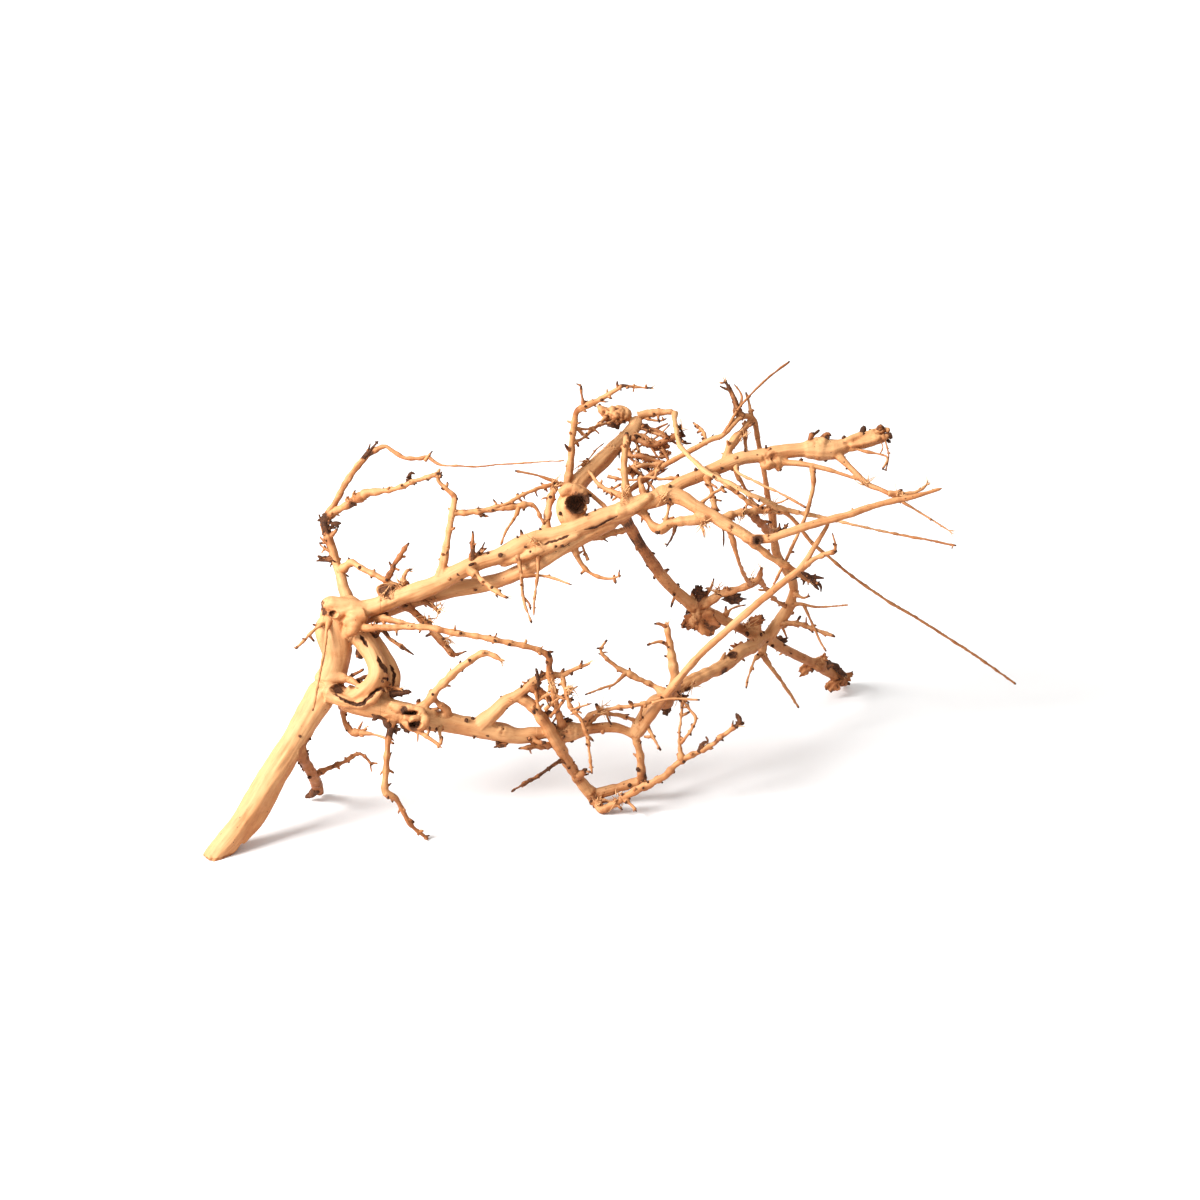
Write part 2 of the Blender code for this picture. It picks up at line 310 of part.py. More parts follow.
def smooth_route(stations):
    """Stations turned into evenly spaced centre points and radii on a smooth curve through all of them."""
    points = [place(*s[:3]) for s in stations]
    radii = [s[3] * MM for s in stations]
    points = [2 * points[0] - points[1]] + points + [2 * points[-1] - points[-2]]
    radii = [radii[0]] + radii + [radii[-1]]
    fine = []
    for i in range(1, len(points) - 2):
        p0, p1, p2, p3 = points[i - 1:i + 3]
        for step in range(8):
            t = step / 8
            point = 0.5 * (2 * p1 + (p2 - p0) * t + (2 * p0 - 5 * p1 + 4 * p2 - p3) * t * t
                           + (3 * p1 - p0 - 3 * p2 + p3) * t ** 3)
            fine.append((point, radii[i] + (radii[i + 1] - radii[i]) * t))
    fine.append((points[-2], radii[-2]))
    route = [fine[0]]
    walked = 0.0
    for before, after in zip(fine, fine[1:]):
        walked += (after[0] - before[0]).length
        if walked >= RING_SPACING[0] * MM + RING_SPACING[1] * after[1]:
            route.append(after)
            walked = 0.0
    if walked > 0.4 * (RING_SPACING[0] * MM + RING_SPACING[1] * fine[-1][1]) or len(route) < 2:
        route.append(fine[-1])
    else:
        route[-1] = fine[-1]
    return route


def add_object(name, bm):
    bmesh.ops.recalc_face_normals(bm, faces=bm.faces[:])
    mesh = bpy.data.meshes.new(name)
    bm.to_mesh(mesh)
    bm.free()
    obj = bpy.data.objects.new(name, mesh)
    bpy.context.scene.collection.objects.link(obj)
    return obj


def add_limb(name, stations):
    """One limb as a closed tube: a disc is extruded from ring to ring and follows the route without twisting."""
    route = smooth_route(stations)
    thickest = max(s[3] for s in stations)
    sides = next(count for limit, count in SIDES if thickest >= limit)
    bm = bmesh.new()
    aim = (route[1][0] - route[0][0]).normalized()
    turn = aim.to_track_quat("Z", "Y")
    frame = Matrix.Translation(route[0][0]) @ turn.to_matrix().to_4x4()
    start = bmesh.ops.create_circle(bm, cap_ends=True, segments=sides, radius=route[0][1], matrix=frame)
    face = start["verts"][0].link_faces[0]
    for i in range(1, len(route)):
        centre, radius = route[i]
        last = route[i - 1]
        onward = route[min(i + 1, len(route) - 1)][0] - last[0]
        new_aim = onward.normalized()
        grown = bmesh.ops.extrude_discrete_faces(bm, faces=[face])["faces"][0]
        swing = aim.rotation_difference(new_aim).to_matrix()
        for vert in grown.verts:
            vert.co = centre + swing @ (vert.co - last[0]) * (radius / last[1])
        face = grown
        aim = new_aim
    bmesh.ops.holes_fill(bm, edges=[e for e in bm.edges if e.is_boundary], sides=sides)
    return add_object(name, bm)


def add_burl(name, across, up, back, half_width, half_height, half_depth):
    """A lump of wood, wider or taller than it is deep, set on the sheet."""
    bm = bmesh.new()
    lean = Matrix.Rotation(-LEAN, 4, "X")
    size = Matrix.Diagonal((half_width * MM, half_depth * MM, half_height * MM, 1.0))
    bmesh.ops.create_icosphere(bm, subdivisions=2, radius=1.0,
                               matrix=Matrix.Translation(place(across, up, back)) @ lean @ size)
    return add_object(name, bm)


def add_floor_block():
    bm = bmesh.new()
    down = Matrix.Translation((400 * MM, 0, -FLOOR_BLOCK / 2 * MM))
    bmesh.ops.create_cube(bm, size=FLOOR_BLOCK * MM, matrix=down)
    block = add_object("floor_block", bm)
    block.hide_render = True
    block.display_type = "WIRE"
    return block


def fuse(name, trunk, others, floor_block):
    """All the limbs and burls as one body, sawn off level with the floor."""
    grown = bpy.data.collections.new("grown_parts")
    bpy.context.scene.collection.children.link(grown)
    for obj in others:
        bpy.context.scene.collection.objects.unlink(obj)
        grown.objects.link(obj)
        obj.hide_render = True
    join = trunk.modifiers.new("join", "BOOLEAN")
    join.operation = "UNION"
    join.operand_type = "COLLECTION"
    join.collection = grown
    join.solver = "EXACT"
    join.use_self = True
    saw = trunk.modifiers.new("saw", "BOOLEAN")
    saw.operation = "DIFFERENCE"
    saw.object = floor_block
    saw.solver = "EXACT"
    trunk.name = name
    return trunk


def main():
    for obj in list(bpy.data.objects):
        bpy.data.objects.remove(obj, do_unlink=True)
    wood = bpy.data.materials.new("dry wood")
    wood.use_nodes = True
    shader = wood.node_tree.nodes["Principled BSDF"]
    shader.inputs["Base Color"].default_value = WOOD_COLOUR
    shader.inputs["Roughness"].default_value = 0.75
    limbs = [add_limb(name, stations) for name, *stations in LIMBS]
    burls = [add_burl(*burl) for burl in BURLS]
    root = fuse("dry_root", limbs[0], limbs[1:] + burls, add_floor_block())
    root.data.materials.append(wood)


main()
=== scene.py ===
import random
from math import cos, exp, pi, radians, sin

import bmesh
import bpy
from bpy.props import FloatProperty, FloatVectorProperty, IntProperty, PointerProperty
from mathutils import Matrix, Vector, noise
from mathutils.kdtree import KDTree


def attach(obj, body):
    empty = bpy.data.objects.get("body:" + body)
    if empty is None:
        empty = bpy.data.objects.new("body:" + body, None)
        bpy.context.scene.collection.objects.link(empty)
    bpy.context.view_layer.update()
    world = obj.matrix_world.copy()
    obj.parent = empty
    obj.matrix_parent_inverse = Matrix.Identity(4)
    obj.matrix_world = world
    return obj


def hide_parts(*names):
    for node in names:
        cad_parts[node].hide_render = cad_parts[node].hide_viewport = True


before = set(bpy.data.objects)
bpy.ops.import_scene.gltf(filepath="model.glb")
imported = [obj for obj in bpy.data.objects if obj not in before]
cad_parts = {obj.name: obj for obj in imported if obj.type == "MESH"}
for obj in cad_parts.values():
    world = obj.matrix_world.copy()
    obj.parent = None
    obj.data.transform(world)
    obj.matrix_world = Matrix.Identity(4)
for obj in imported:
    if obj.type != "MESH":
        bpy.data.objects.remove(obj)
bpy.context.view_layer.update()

bl_info = {
    "name": "Dry root",
    "version": (1, 0, 0),
    "blender": (4, 5, 0),
    "location": "View3D > Sidebar > Dry root",
    "description": "Builds a pale, weathered root with its limbs, twigs, spurs, knots and torn fibres",
    "category": "Add Mesh",
}

MM = 0.001
LEAN = radians(30.0)       # the sheet that the root is laid out on leans back this far
SAWN_END_ACROSS = 15.9     # the sawn end's centre on that sheet is the origin
SAWN_END_BACK = 10.1
THICK = 4.4                # a limb at least this thick somewhere is fused into the main body, mm
WANDER_SEED = 7            # the same wander of the thin limbs on every run

# A station is (across, up, back, radius) in mm: a place on the leaning sheet, the distance behind it, and
# half the thickness of the wood there.
LIMBS = (
    # trunk, crown and the two loops of wood beside it
    ("trunk", (11, -2, 8, 10.5), (17, 7, 9, 11), (34, 27, 10, 12.5), (51, 51, 11, 13.5), (68, 79, 12, 13),
     (88, 110, 13, 13.5), (103, 136, 14, 13.5), (118, 160, 16, 14.5), (130, 180, 18, 16)),
    ("left strand", (128, 176, 17, 15), (136, 198, 14, 13), (136, 213, 14, 16), (132, 229, 16, 17.5),
     (134, 243, 20, 14), (130, 254, 22, 9)),
    ("crown bar", (130, 248, 18, 11), (150, 246, 14, 11)),
    ("inner loop", (126, 172, 12, 12), (150, 161, 4, 9), (168, 171, 0, 9.5), (178, 186, -2, 10),
     (173, 203, 2, 9.5),
     (163, 219, 8, 10), (152, 232, 14, 11)),
    ("outer loop", (160, 230, 18, 9), (174, 218, 18, 8), (184, 203, 16, 8), (192, 188, 12, 7.5),
     (193, 177, 10, 7), (189, 168, 10, 7), (178, 162, 10, 7)),
    # the long lower limb and the long upper limb
    ("lower limb", (145, 163, 10, 13), (165, 156, 8, 13), (185, 151, 8, 12), (205, 146, 10, 12),
     (225, 141, 14, 12), (245, 138, 18, 10.5), (265, 134, 22, 10), (285, 130, 26, 10), (300, 127, 30, 10),
     (320, 124, 34, 8), (345, 127, 38, 6.5), (368, 128, 42, 10), (390, 131, 46, 5.5), (410, 132, 50, 5.5),
     (425, 129, 52, 4.5), (436, 122, 52, 4)),
    ("upper limb", (145, 245, 16, 10), (170, 252, 8, 9.5), (185, 257, 4, 9), (200, 263, 0, 8.5),
     (220, 270, -4, 9.5), (240, 278, -8, 9), (260, 289, -12, 9), (280, 298, -14, 8.5), (300, 304, -16, 8),
     (320, 314, -18, 9), (340, 322, -20, 8), (360, 326, -22, 8), (380, 333, -24, 8.5), (400, 342, -24, 9),
     (420, 348, -24, 9.5), (440, 357, -24, 9), (460, 363, -22, 9.5), (480, 376, -20, 6.5),
     (500, 384, -18, 6.5),
     (520, 393, -16, 7), (540, 401, -14, 7), (560, 404, -12, 7), (580, 408, -12, 7), (600, 410, -12, 7.5),
     (612, 411, -12, 10.5), (630, 410, -12, 10.5), (642, 413, -12, 8), (652, 417, -12, 5.5),
     (670, 421, -12, 7),
     (685, 423, -12, 5)),
    ("second limb", (148, 242, 20, 9), (165, 243, 20, 7), (215, 260, 16, 7), (240, 267, 14, 8),
     (260, 272, 12, 8), (280, 275, 8, 7.5),
     (300, 280, 2, 7.5), (320, 288, -6, 7.5), (340, 299, -12, 8), (360, 311, -16, 8), (380, 322, -18, 8),
     (400, 333, -18, 8), (420, 342, -18, 8)),
    ("thick rising limb", (372, 333, -20, 9), (372, 350, -10, 11), (375, 372, 0, 10.5),
     (385, 384, 8, 9.5), (400, 398, 18, 8.5),
     (413, 411, 26, 7.5), (425, 422, 34, 7), (434, 433, 40, 7), (438, 444, 44, 7)),
    # the upper left limb, its two long twigs and the twigs that fill the upper left gap
    ("left limb", (148, 245, 20, 9), (147, 262, 24, 7), (143, 272, 26, 6), (140, 285, 28, 5.5),
     (136, 296, 30, 5),
     (132, 310, 30, 5), (128, 321, 30, 5), (124, 335, 30, 4.5), (123, 345, 28, 4.5)),
    ("left top twig", (125, 340, 28, 4.5), (131, 352, 28, 3), (137, 362, 26, 3), (145, 377, 24, 3),
     (153, 389, 22, 3), (163, 401, 18, 2.7), (171, 408, 16, 2.5), (184, 414, 12, 2.2), (191, 410, 8, 2),
     (205, 402, 0, 2.2), (220, 401, -6, 2), (228, 403, -8, 2), (240, 395, -12, 1.4), (260, 394, -16, 1.1),
     (276, 393, -18, 1), (300, 395, -20, 1), (330, 397, -24, .9), (365, 399, -28, .8)),
    ("left long twig", (124, 342, 28, 4), (133, 348, 26, 3), (142, 353, 22, 3), (150, 357, 18, 3.2),
     (158, 362, 14, 4), (167, 367, 10, 4), (176, 368, 6, 3.2), (195, 371, -2, 2.5), (215, 379, -10, 2.2),
     (241, 386, -18.4, 2)),
    ("left side twig", (140, 289, 28, 4), (146, 295, 22, 3.5), (151, 297, 18, 3), (165, 291, 10, 2.6),
     (182, 282, 6, 2.5), (200, 272, 6, 2.5), (206, 266, 2, 2)),
    ("left side stub", (186, 279, 6, 2.5), (193, 293, 2, 2.2), (205, 312, -4, 2), (209, 317, -6, 1.4)),
    ("left thorn", (134, 302, 30, 3), (115, 299, 28, 1)),
    ("upright twig", (240, 280, -9, 5), (244, 298, -12, 3.6), (247, 315, -14, 3.3), (251, 342, -17, 3),
     (255, 362, -18, 2.6), (249, 369, -18, 2.2), (238, 380, -18, 2), (243, 389, -19, 1.2)),
    ("level twig", (253, 347, -17, 2.8), (275, 348, -20, 2.6), (295, 351, -22, 2.5), (315, 353, -22, 3),
     (325, 355, -22, 3), (334, 353, -22, 1.8), (345, 335, -20, 1.5)),
    ("arched twig", (287, 350, -22, 2), (305, 356, -24, 1.6), (320, 363, -22, 1.7), (335, 370, -20, 1.8),
     (354, 376, -13, 2)),
    ("hooked twig", (319, 353, -22, 2), (315, 342, -25, 1.4), (306, 327, -24, 1.2), (301, 315, -20, 1)),
    ("short prong", (273, 296, -16, 3), (273, 317, -20, 1.8), (273, 329, -22, 1.2)),
    ("hanging prong", (268, 292, -16, 4), (280, 281, -26, 2.5), (290, 274, -32, 2.2), (304, 264, -40, 1.8),
     (309, 262, -42, 1.2)),
    ("torn prong", (202, 270, 0, 3), (206, 287, -2, 2), (212, 291, -2, 1.4)),
    ("middle post", (345, 322, -18, 4), (349, 350, -16, 3.2), (351, 360, -14, 3.2), (356, 378, -12, 3)),
    ("middle arch", (357, 376, -13, 2.4), (375, 374, -16, 2), (385, 370, -18, 2.2), (403, 355, -22, 2.2),
     (410, 347, -23, 2.2)),
    ("middle wisp", (357, 378, -12, 1.8), (335, 385, -18, 1.2), (315, 389, -24, .9)),
    # the high twigs
    ("high twig", (364, 360, -8, 5), (368, 382, -6, 4), (370, 395, -6, 3.5), (373, 425, -10, 3),
     (375, 440, -12, 3), (377, 449, -14, 3), (387, 454, -16, 2.7), (397, 459, -18, 2.5),
     (415, 469, -22, 2.3),
     (422, 474, -24, 2), (430, 473, -24, 1.5), (454, 471, -24, 1.2)),
    ("high hook", (384, 453, -15, 1.8), (382, 465, -17, 1.4), (381, 474, -18, 1.1)),
    ("high link", (374, 431, -10, 1.6), (385, 431, -2, 1.4), (405, 437, 18, 1.4), (418, 442, 34, 2)),
    ("low link", (373, 417, -9, 1.8), (385, 423, 2, 1.6), (392, 430, 12, 1.6), (408, 445, 34, 2)),
    ("burl spike", (410, 446, 38, 5), (402, 451, 37, 3), (397, 455, 36, 1.5)),
    ("burl arm", (438, 444, 44, 4), (450, 447, 44, 3.3), (460, 448, 42, 3), (470, 449, 38, 2.5),
     (476, 447, 34, 2)),
    ("pale rod", (475, 448, 35, 2.4), (475, 440, 28, 2.2), (478, 420, 10, 2.2), (483, 410, -2, 2.3),
     (503, 390, -30, 2.5), (515, 383, -38, 2.3), (530, 376, -44, 2.3), (545, 367, -46, 2.3),
     (557, 362, -44, 2.5), (568, 357, -38, 3), (578, 352, -30, 3), (590, 349, -24, 2.5),
     (605, 346, -22, 2.2),
     (620, 343, -20, 2), (645, 337, -30, 1.4), (680, 329, -32, 1.2), (720, 321, -36, 1.1),
     (755, 314, -40, 1)),
    ("burl twig", (436, 436, 41, 3.6), (450, 431, 38, 2.8), (460, 428, 34, 2.5), (472, 421, 28, 2.2),
     (483, 428, 26, 3.5)),
    # the limb that leans back to the ground behind
    ("leaning limb", (422, 345, -20, 7), (430, 332, -2, 6), (437, 320, 10, 6), (445, 308, 22, 6),
     (455, 294, 38, 6.3), (463, 283, 50, 6), (473, 272, 64, 6), (485, 261, 80, 6.5), (497, 253, 96, 8),
     (510, 247, 110, 6), (525, 240, 126, 5.5), (540, 232, 142, 5), (555, 226, 156, 6.5),
     (570, 220, 172, 5.5),
     (585, 212, 190, 5), (600, 204, 210, 5), (615, 197, 230, 4.5), (625, 192, 242, 6), (640, 183, 268, 5),
     (652, 175, 294, 7)),
    ("leaning stub", (498, 254, 95, 6), (500, 258, 92, 6), (503, 268, 86, 5)),
    ("leaning arm", (500, 254, 96, 5), (516, 262, 84, 4), (522, 266, 80, 3.6), (545, 273, 70, 3.2),
     (555, 278, 66, 3.2), (560, 282, 64, 3), (563, 294, 60, 1.5)),
    ("leaning prong", (628, 193, 246, 3.5), (640, 192, 258, 3), (652, 182, 268, 3)),
    # the strand that climbs in an arch from the leaning limb
    ("arching strand", (570, 220, 172, 6), (578, 233, 160, 6), (587, 245, 150, 6), (593, 258, 140, 5),
     (596, 270, 130, 4.5), (594, 281, 120, 5), (587, 292, 110, 4.5), (580, 303, 100, 4.5), (576, 318, 88, 4),
     (573, 348, 64, 4), (569, 362, 54, 3), (565, 386, 36, 2.7), (559, 415, 18, 2.6), (557, 428, 12, 2.8),
     (555, 438, 8, 3), (551, 443, 4, 3), (545, 444, 0, 3), (538, 441, -4, 3), (531, 434, -6, 3),
     (522, 424, -8, 2.8), (510, 420, -8, 2.8), (490, 409, -4, 2.8), (465, 395, 0, 2.8), (450, 384, -4, 3),
     (437, 375, -10, 3), (427, 367, -18, 3), (424, 355, -22, 4)),
    # the right-hand branches of the upper limb
    ("right brace", (462, 366, -22, 9), (480, 362, -28, 7.5), (495, 353, -34, 6.5), (510, 345, -38, 6),
     (525, 336, -42, 6), (540, 327, -46, 5.5), (553, 319, -50, 5.5)),
    ("right long branch", (550, 320, -49, 5), (568, 321, -52, 4.5), (580, 325, -54, 4.2), (605, 333, -56, 4),
     (630, 340, -58, 3.7), (650, 346, -60, 3.4), (670, 353, -62, 3.2), (690, 358, -64, 3),
     (705, 361, -66, 2.8),
     (720, 365, -68, 2.3), (740, 371, -70, 1.6)),
    ("right low branch", (543, 325, -47, 5), (560, 310, -40, 3.5), (575, 300, -34, 3), (590, 292, -28, 3),
     (600, 284, -24, 2.2), (610, 277, -20, 1.2)),
    ("right high branch", (634, 408, -13, 5), (648, 394, -20, 3), (657, 385, -26, 3), (666, 376, -32, 3),
     (677, 371, -38, 2.5), (687, 366, -44, 2.2), (697, 360, -45, 1.8), (725, 343, -52, 1.3),
     (750, 327, -58, 1)),
    ("torn fork", (687, 366, -44, 2.4), (710, 366, -44, 2), (720, 371, -42, 1.5), (728, 377, -40, 1)),
    ("right under twig", (576, 406, -12, 5), (583, 398, -14, 3.5), (600, 396, -18, 3), (625, 391, -22, 2.5),
     (640, 386, -24, 2), (662, 379, -30, 1.5)),
    ("right hanging twig", (612, 394, -20, 2.6), (613, 380, -22, 2.3), (612, 370, -22, 2.2),
     (606, 347, -28, 1.9),
     (598, 327, -32, 1.7), (587, 303, -26, 1.5), (571, 270, -8, 1.2)),
    ("right end twig", (648, 414, -13, 2.4), (662, 409, -18, 1.4), (686, 403, -22, 1.1),
     (682, 390, -22, .9)),
    ("crossing twig", (536, 400, -14, 4), (537, 388, -22, 1.6), (555, 378, -30, 1.4), (580, 366, -38, 1.2),
     (605, 352, -46, 1)),
    ("crossing twig 2", (536, 398, -14, 3), (536, 386, -14, 2), (542, 375, -10, 2), (548, 365, -8, 2),
     (553, 357, -12, 2), (562, 351, -24, 2)),
    ("crossing twig 3", (512, 388, -18, 3), (525, 375, -34, 2), (535, 368, -30, 2), (555, 353, -24, 2),
     (568, 348, -22, 2)),
    ("crossing twig 4", (506, 386, -18, 3.5), (511, 370, -26, 2), (513, 360, -30, 2.5),
     (515, 345, -36, 3.5)),
    ("crossing twig 5", (498, 352, -35, 2), (505, 360, -32, 1.5), (524, 373, -33, 1.6)),
    ("drooping twig", (525, 338, -41, 4), (531, 323, -36, 2.6), (538, 300, -18, 2), (543, 288, 10, 2),
     (548, 279, 30, 2), (552, 276, 68, 2.4)),
    ("under strand", (436, 356, -22, 5), (447, 342, -26, 3.2), (453, 334, -30, 4), (461, 331, -32, 4.5),
     (470, 336, -34, 4), (485, 339, -36, 4), (510, 341, -39, 4.5)),
    ("under strand spur", (461, 332, -32, 3.4), (456, 326, -34, 2)),
    ("under strand tie", (465, 336, -32, 2), (468, 350, -28, 1.6), (470, 358, -26, 2)),
    ("cross rod", (520, 340, -40, 4), (540, 347, -34, 3), (555, 349, -28, 3), (570, 349, -20, 3),
     (590, 348, -23, 2.5)),
    ("cross tie", (550, 348, -30, 3.5), (562, 335, -10, 3.5), (570, 328, 20, 3), (575, 329, 60, 3),
     (575, 331, 78, 3)),
    ("long straight twig", (580, 351, -28, 2.2), (595, 338, -20, 2), (612, 317, -8, 1.8), (630, 302, 0, 1.6),
     (655, 282, 12, 1.5), (690, 258, 32, 1.5), (720, 241, 48, 1.4), (750, 222, 64, 1.4), (780, 203, 80, 1.3),
     (820, 175, 104, 1)),
    # the twigs of the middle top
    ("post", (427, 356, -23, 5), (425, 380, -20, 3.4), (424, 395, -16, 3), (425, 410, -12, 3),
     (427, 428, -6, 2.6)),
    ("post twig", (386, 392, 10, 3), (390, 387, 0, 1.5), (403, 372, -12, 2.3), (426, 361, -23, 2.6)),
    ("tangle 1", (436, 425, 38, 2), (450, 420, 30, 1.5), (460, 413, 26, 1.5), (467, 403, 10, 1.6),
     (468, 396, 1, 1.8)),
    ("tangle 2", (430, 424, 34, 3), (445, 417, 24, 2.5), (455, 415, 24, 2.5), (475, 424, 22, 2.5),
     (481, 427, 25, 2.5)),
    ("tangle 3", (426, 421, 32, 3), (430, 405, 16, 2), (440, 404, 12, 2), (466, 396, 1, 2)),
    ("tangle 4", (426, 388, -16, 2.4), (430, 391, 6, 2), (445, 395, 4, 2), (466, 396, 1, 2)),
    ("tangle 5", (445, 360, -22, 3), (440, 382, -14, 1.5), (460, 381, -18, 1.5), (485, 381, -19, 2)),
    ("top spike", (543, 443, -1, 3.2), (538, 448, -2, 3), (535, 460, -2, 2.5), (530, 470, -2, 2),
     (524, 480, -2, 1)),
    ("top long wisp", (524, 426, -8, 1.8), (533, 442, -8, 1.4), (543, 457, -6, 1.2), (568, 482, 6, 1),
     (590, 499, 18, .9)),
    ("top tie", (524, 396, -15, 4), (529, 411, -10, 3.5), (535, 421, -6, 4.5), (541, 428, 0, 3),
     (551, 440, 5, 2.6)),
    ("top thin spike", (552, 441, 4, 2), (549, 458, 6, 1.3), (546, 468, 8, 1)),
    ("top hook", (505, 416, -6, 2), (504, 427, 6, 1.6), (499, 433, 14, 1.5), (493, 438, 22, 1.2)),
    # the branch of the lower limb and its feet
    ("middle branch", (280, 135, 22, 9), (295, 148, 18, 7.5), (305, 158, 14, 6.5), (315, 163, 12, 5.5),
     (325, 170, 10, 5), (333, 178, 8, 4.5), (342, 183, 6, 4), (352, 185, 4, 3.5), (363, 185, 2, 3.2),
     (375, 191, 0, 2.3), (391, 197, -4, 1.6)),
    ("middle branch lobe", (330, 174, 9, 3.5), (345, 164, 12, 3), (352, 158, 14, 2.6)),
    ("foot branch", (316, 164, 13, 5.5), (326, 159, 14, 5), (335, 150, 17, 5), (344, 138, 22, 5.4),
     (352, 125, 29, 5.4), (360, 111, 41, 5), (367, 98, 55, 4.7), (373, 88, 65, 4.5), (379, 79, 73, 4.8),
     (386, 70, 80, 4.8), (394, 61, 86, 5.6), (399, 52, 79, 3.6), (401, 45, 74, 2.8)),
    ("foot bridge", (392, 63, 87, 5), (406, 67, 84, 4.3), (420, 71, 82, 4), (432, 75, 80, 4),
     (442, 78, 78, 4.2),
     (442, 84, 74, 4), (441, 96, 68, 3.8), (439, 110, 60, 3.4), (436, 122, 53, 3.8), (440, 131, 46, 3.5)),
    ("low runner", (401, 48, 75, 3), (415, 54, 70, 3), (425, 61, 66, 3.5), (435, 67, 62, 3.4),
     (450, 75, 56, 3), (465, 84, 50, 3), (480, 97, 44, 3), (490, 103, 40, 3), (500, 108, 37, 2.6),
     (515, 118, 30, 2.4), (530, 129, 22, 2.2), (540, 136, 16, 1.8)),
    ("low runner twig", (482, 99, 43, 2.8), (480, 115, 42, 1.6), (480, 125, 40, 1.5), (482, 152, 36, 1.5),
     (483, 160, 34, 1.5)),
    ("low runner twig 2", (481, 116, 42, 1.5), (488, 125, 36, 1.4), (496, 140, 30, 1.4), (490, 150, 32, 1.4),
     (483, 160, 34, 1.4)),
    ("straight stick", (438, 125, 52, 5.5), (452, 146, 38, 5), (465, 163, 28, 4.5), (485, 188, 14, 3.6),
     (505, 210, 2, 3.5), (525, 228, -8, 3.5), (545, 246, -16, 3.5), (565, 263, -24, 3.5),
     (585, 280, -32, 3.4),
     (600, 292, -38, 3.4), (612, 310, -42, 3), (628, 337, -48, 2)),
    ("stick spur", (600, 291, -37, 3), (608, 297, -40, 2.6), (618, 303, -44, 2.4), (636, 309, -50, 1.8)),
    ("heavy link", (436, 124, 52, 6), (440, 133, 50, 7), (455, 155, 56, 7), (468, 163, 62, 6.5),
     (480, 172, 70, 6), (495, 180, 80, 6), (510, 186, 90, 5.5), (522, 192, 100, 6), (533, 200, 110, 6),
     (545, 209, 122, 6), (557, 213, 134, 5), (562, 218, 152, 4.5), (568, 221, 170, 4.5)),
    ("knobby twig", (472, 165, 62, 6), (476, 180, 46, 5), (474, 192, 40, 4.3), (472, 204, 36, 3.8),
     (470, 216, 32, 3.3), (468, 226, 28, 3), (467, 238, 25, 2)),
    ("knobby twig top", (467, 233, 26, 1.8), (460, 236, 24, 1.3), (454, 236, 22, 1)),
    ("knobby twig side", (470, 214, 32, 2), (460, 218, 28, 1.5), (447, 215, 22, 1)),
    ("curled twig", (466, 165, 30, 4), (455, 173, 36, 2.6), (445, 178, 34, 2.5), (425, 188, 30, 2.7),
     (415, 194, 28, 2.2), (403, 205, 24, 1.7), (401, 212, 22, 1.5), (407, 220, 18, 1)),
    ("curled twig side", (426, 187, 30, 2), (415, 176, 24, 1.4), (403, 172, 20, 1.2), (385, 165, 12, 1)),
    ("woven twig", (381, 130, 44, 3), (390, 144, 36, 2.2), (400, 148, 32, 2.1), (420, 153, 26, 2),
     (435, 155, 22, 2), (466, 162, 26, 1.8)),
    ("woven twig 2", (385, 133, 45, 2.6), (398, 144, 44, 2), (410, 146, 44, 2), (432, 140, 48, 2),
     (440, 136, 50, 2.4)),
    # the long thin branch that crosses the middle gap, and what hangs below it
    ("bow branch", (148, 234, 14, 6), (165, 232, -6, 3.4), (180, 233, -12, 3.1), (195, 233, -16, 3),
     (225, 233, -20, 3), (240, 230, -22, 2.9), (270, 225, -24, 2.8), (300, 219, -24, 2.8),
     (330, 213, -20, 2.8),
     (343, 208, -16, 2.8), (349, 203, -12, 3), (349, 192, -6, 3), (351, 180, 0, 3), (354, 165, 8, 3),
     (357, 150, 18, 3.2), (362, 133, 36, 4)),
    ("hanging twig", (362, 185, 2, 2.4), (366, 168, -2, 2), (370, 155, -4, 2), (383, 135, -6, 1.7),
     (390, 105, -6, 1.5), (392, 86, -4, 1.2)),
    ("leaf-shaped hoop", (332, 122, 34, 4), (337, 118, 30, 2.2), (347, 115, 34, 2.2), (358, 112, 48, 2.4)),
    ("thorny hook", (367, 98, 54, 3), (359, 98, 46, 1.7), (347, 90, 38, 1.6), (330, 79, 28, 1.7),
     (311, 68, 16, 1.1)),
    ("crown rod", (172, 243, 19, 4), (192, 240, -6, 2.8), (212, 235, -14, 2)),
    ("crown fork", (197, 260, 6, 5), (213, 248, 14, 3.2), (222, 240, 18, 3.2), (230, 233, 20, 3.6),
     (236, 225, 16, 4), (243, 217, 14, 3.5), (250, 208, 12, 3), (255, 202, 10, 1.5)),
    ("crown fork prong", (246, 214, 13, 2.4), (254, 206, 11, 1.6), (267, 209, 6, 1)),
    ("crown fork 2", (216, 264, 2, 4), (222, 260, 6, 2), (232, 255, 4, 1.8), (240, 247, 2, 1.5)),
    ("loop thorn", (170, 224, 20, 4), (182, 230, 4, 2), (192, 220, 2, 1.8), (214, 205, -2, 1.3)),
    # the low twigs of the trunk and of the lower limb
    ("hanging wisp", (130, 240, 8, 4), (127, 230, -6, 1.6), (125, 212, -10, 1.3), (119, 180, -12, 1.1),
     (113, 149, -8, 1)),
    ("left spur", (130, 240, 10, 4), (122, 236, 0, 1.8), (112, 228, -6, 1.6), (96, 211, -12, 1.2)),
    ("near foot", (98, 118, 13, 7), (101, 105, 18, 5), (107, 93, 36, 4.5), (112, 83, 56, 4.5),
     (115, 73, 81, 5), (117, 65, 105, 3.5)),
    ("near foot toe", (114, 70, 82, 3.8), (109, 64, 92, 3), (103, 61, 96, 2.5)),
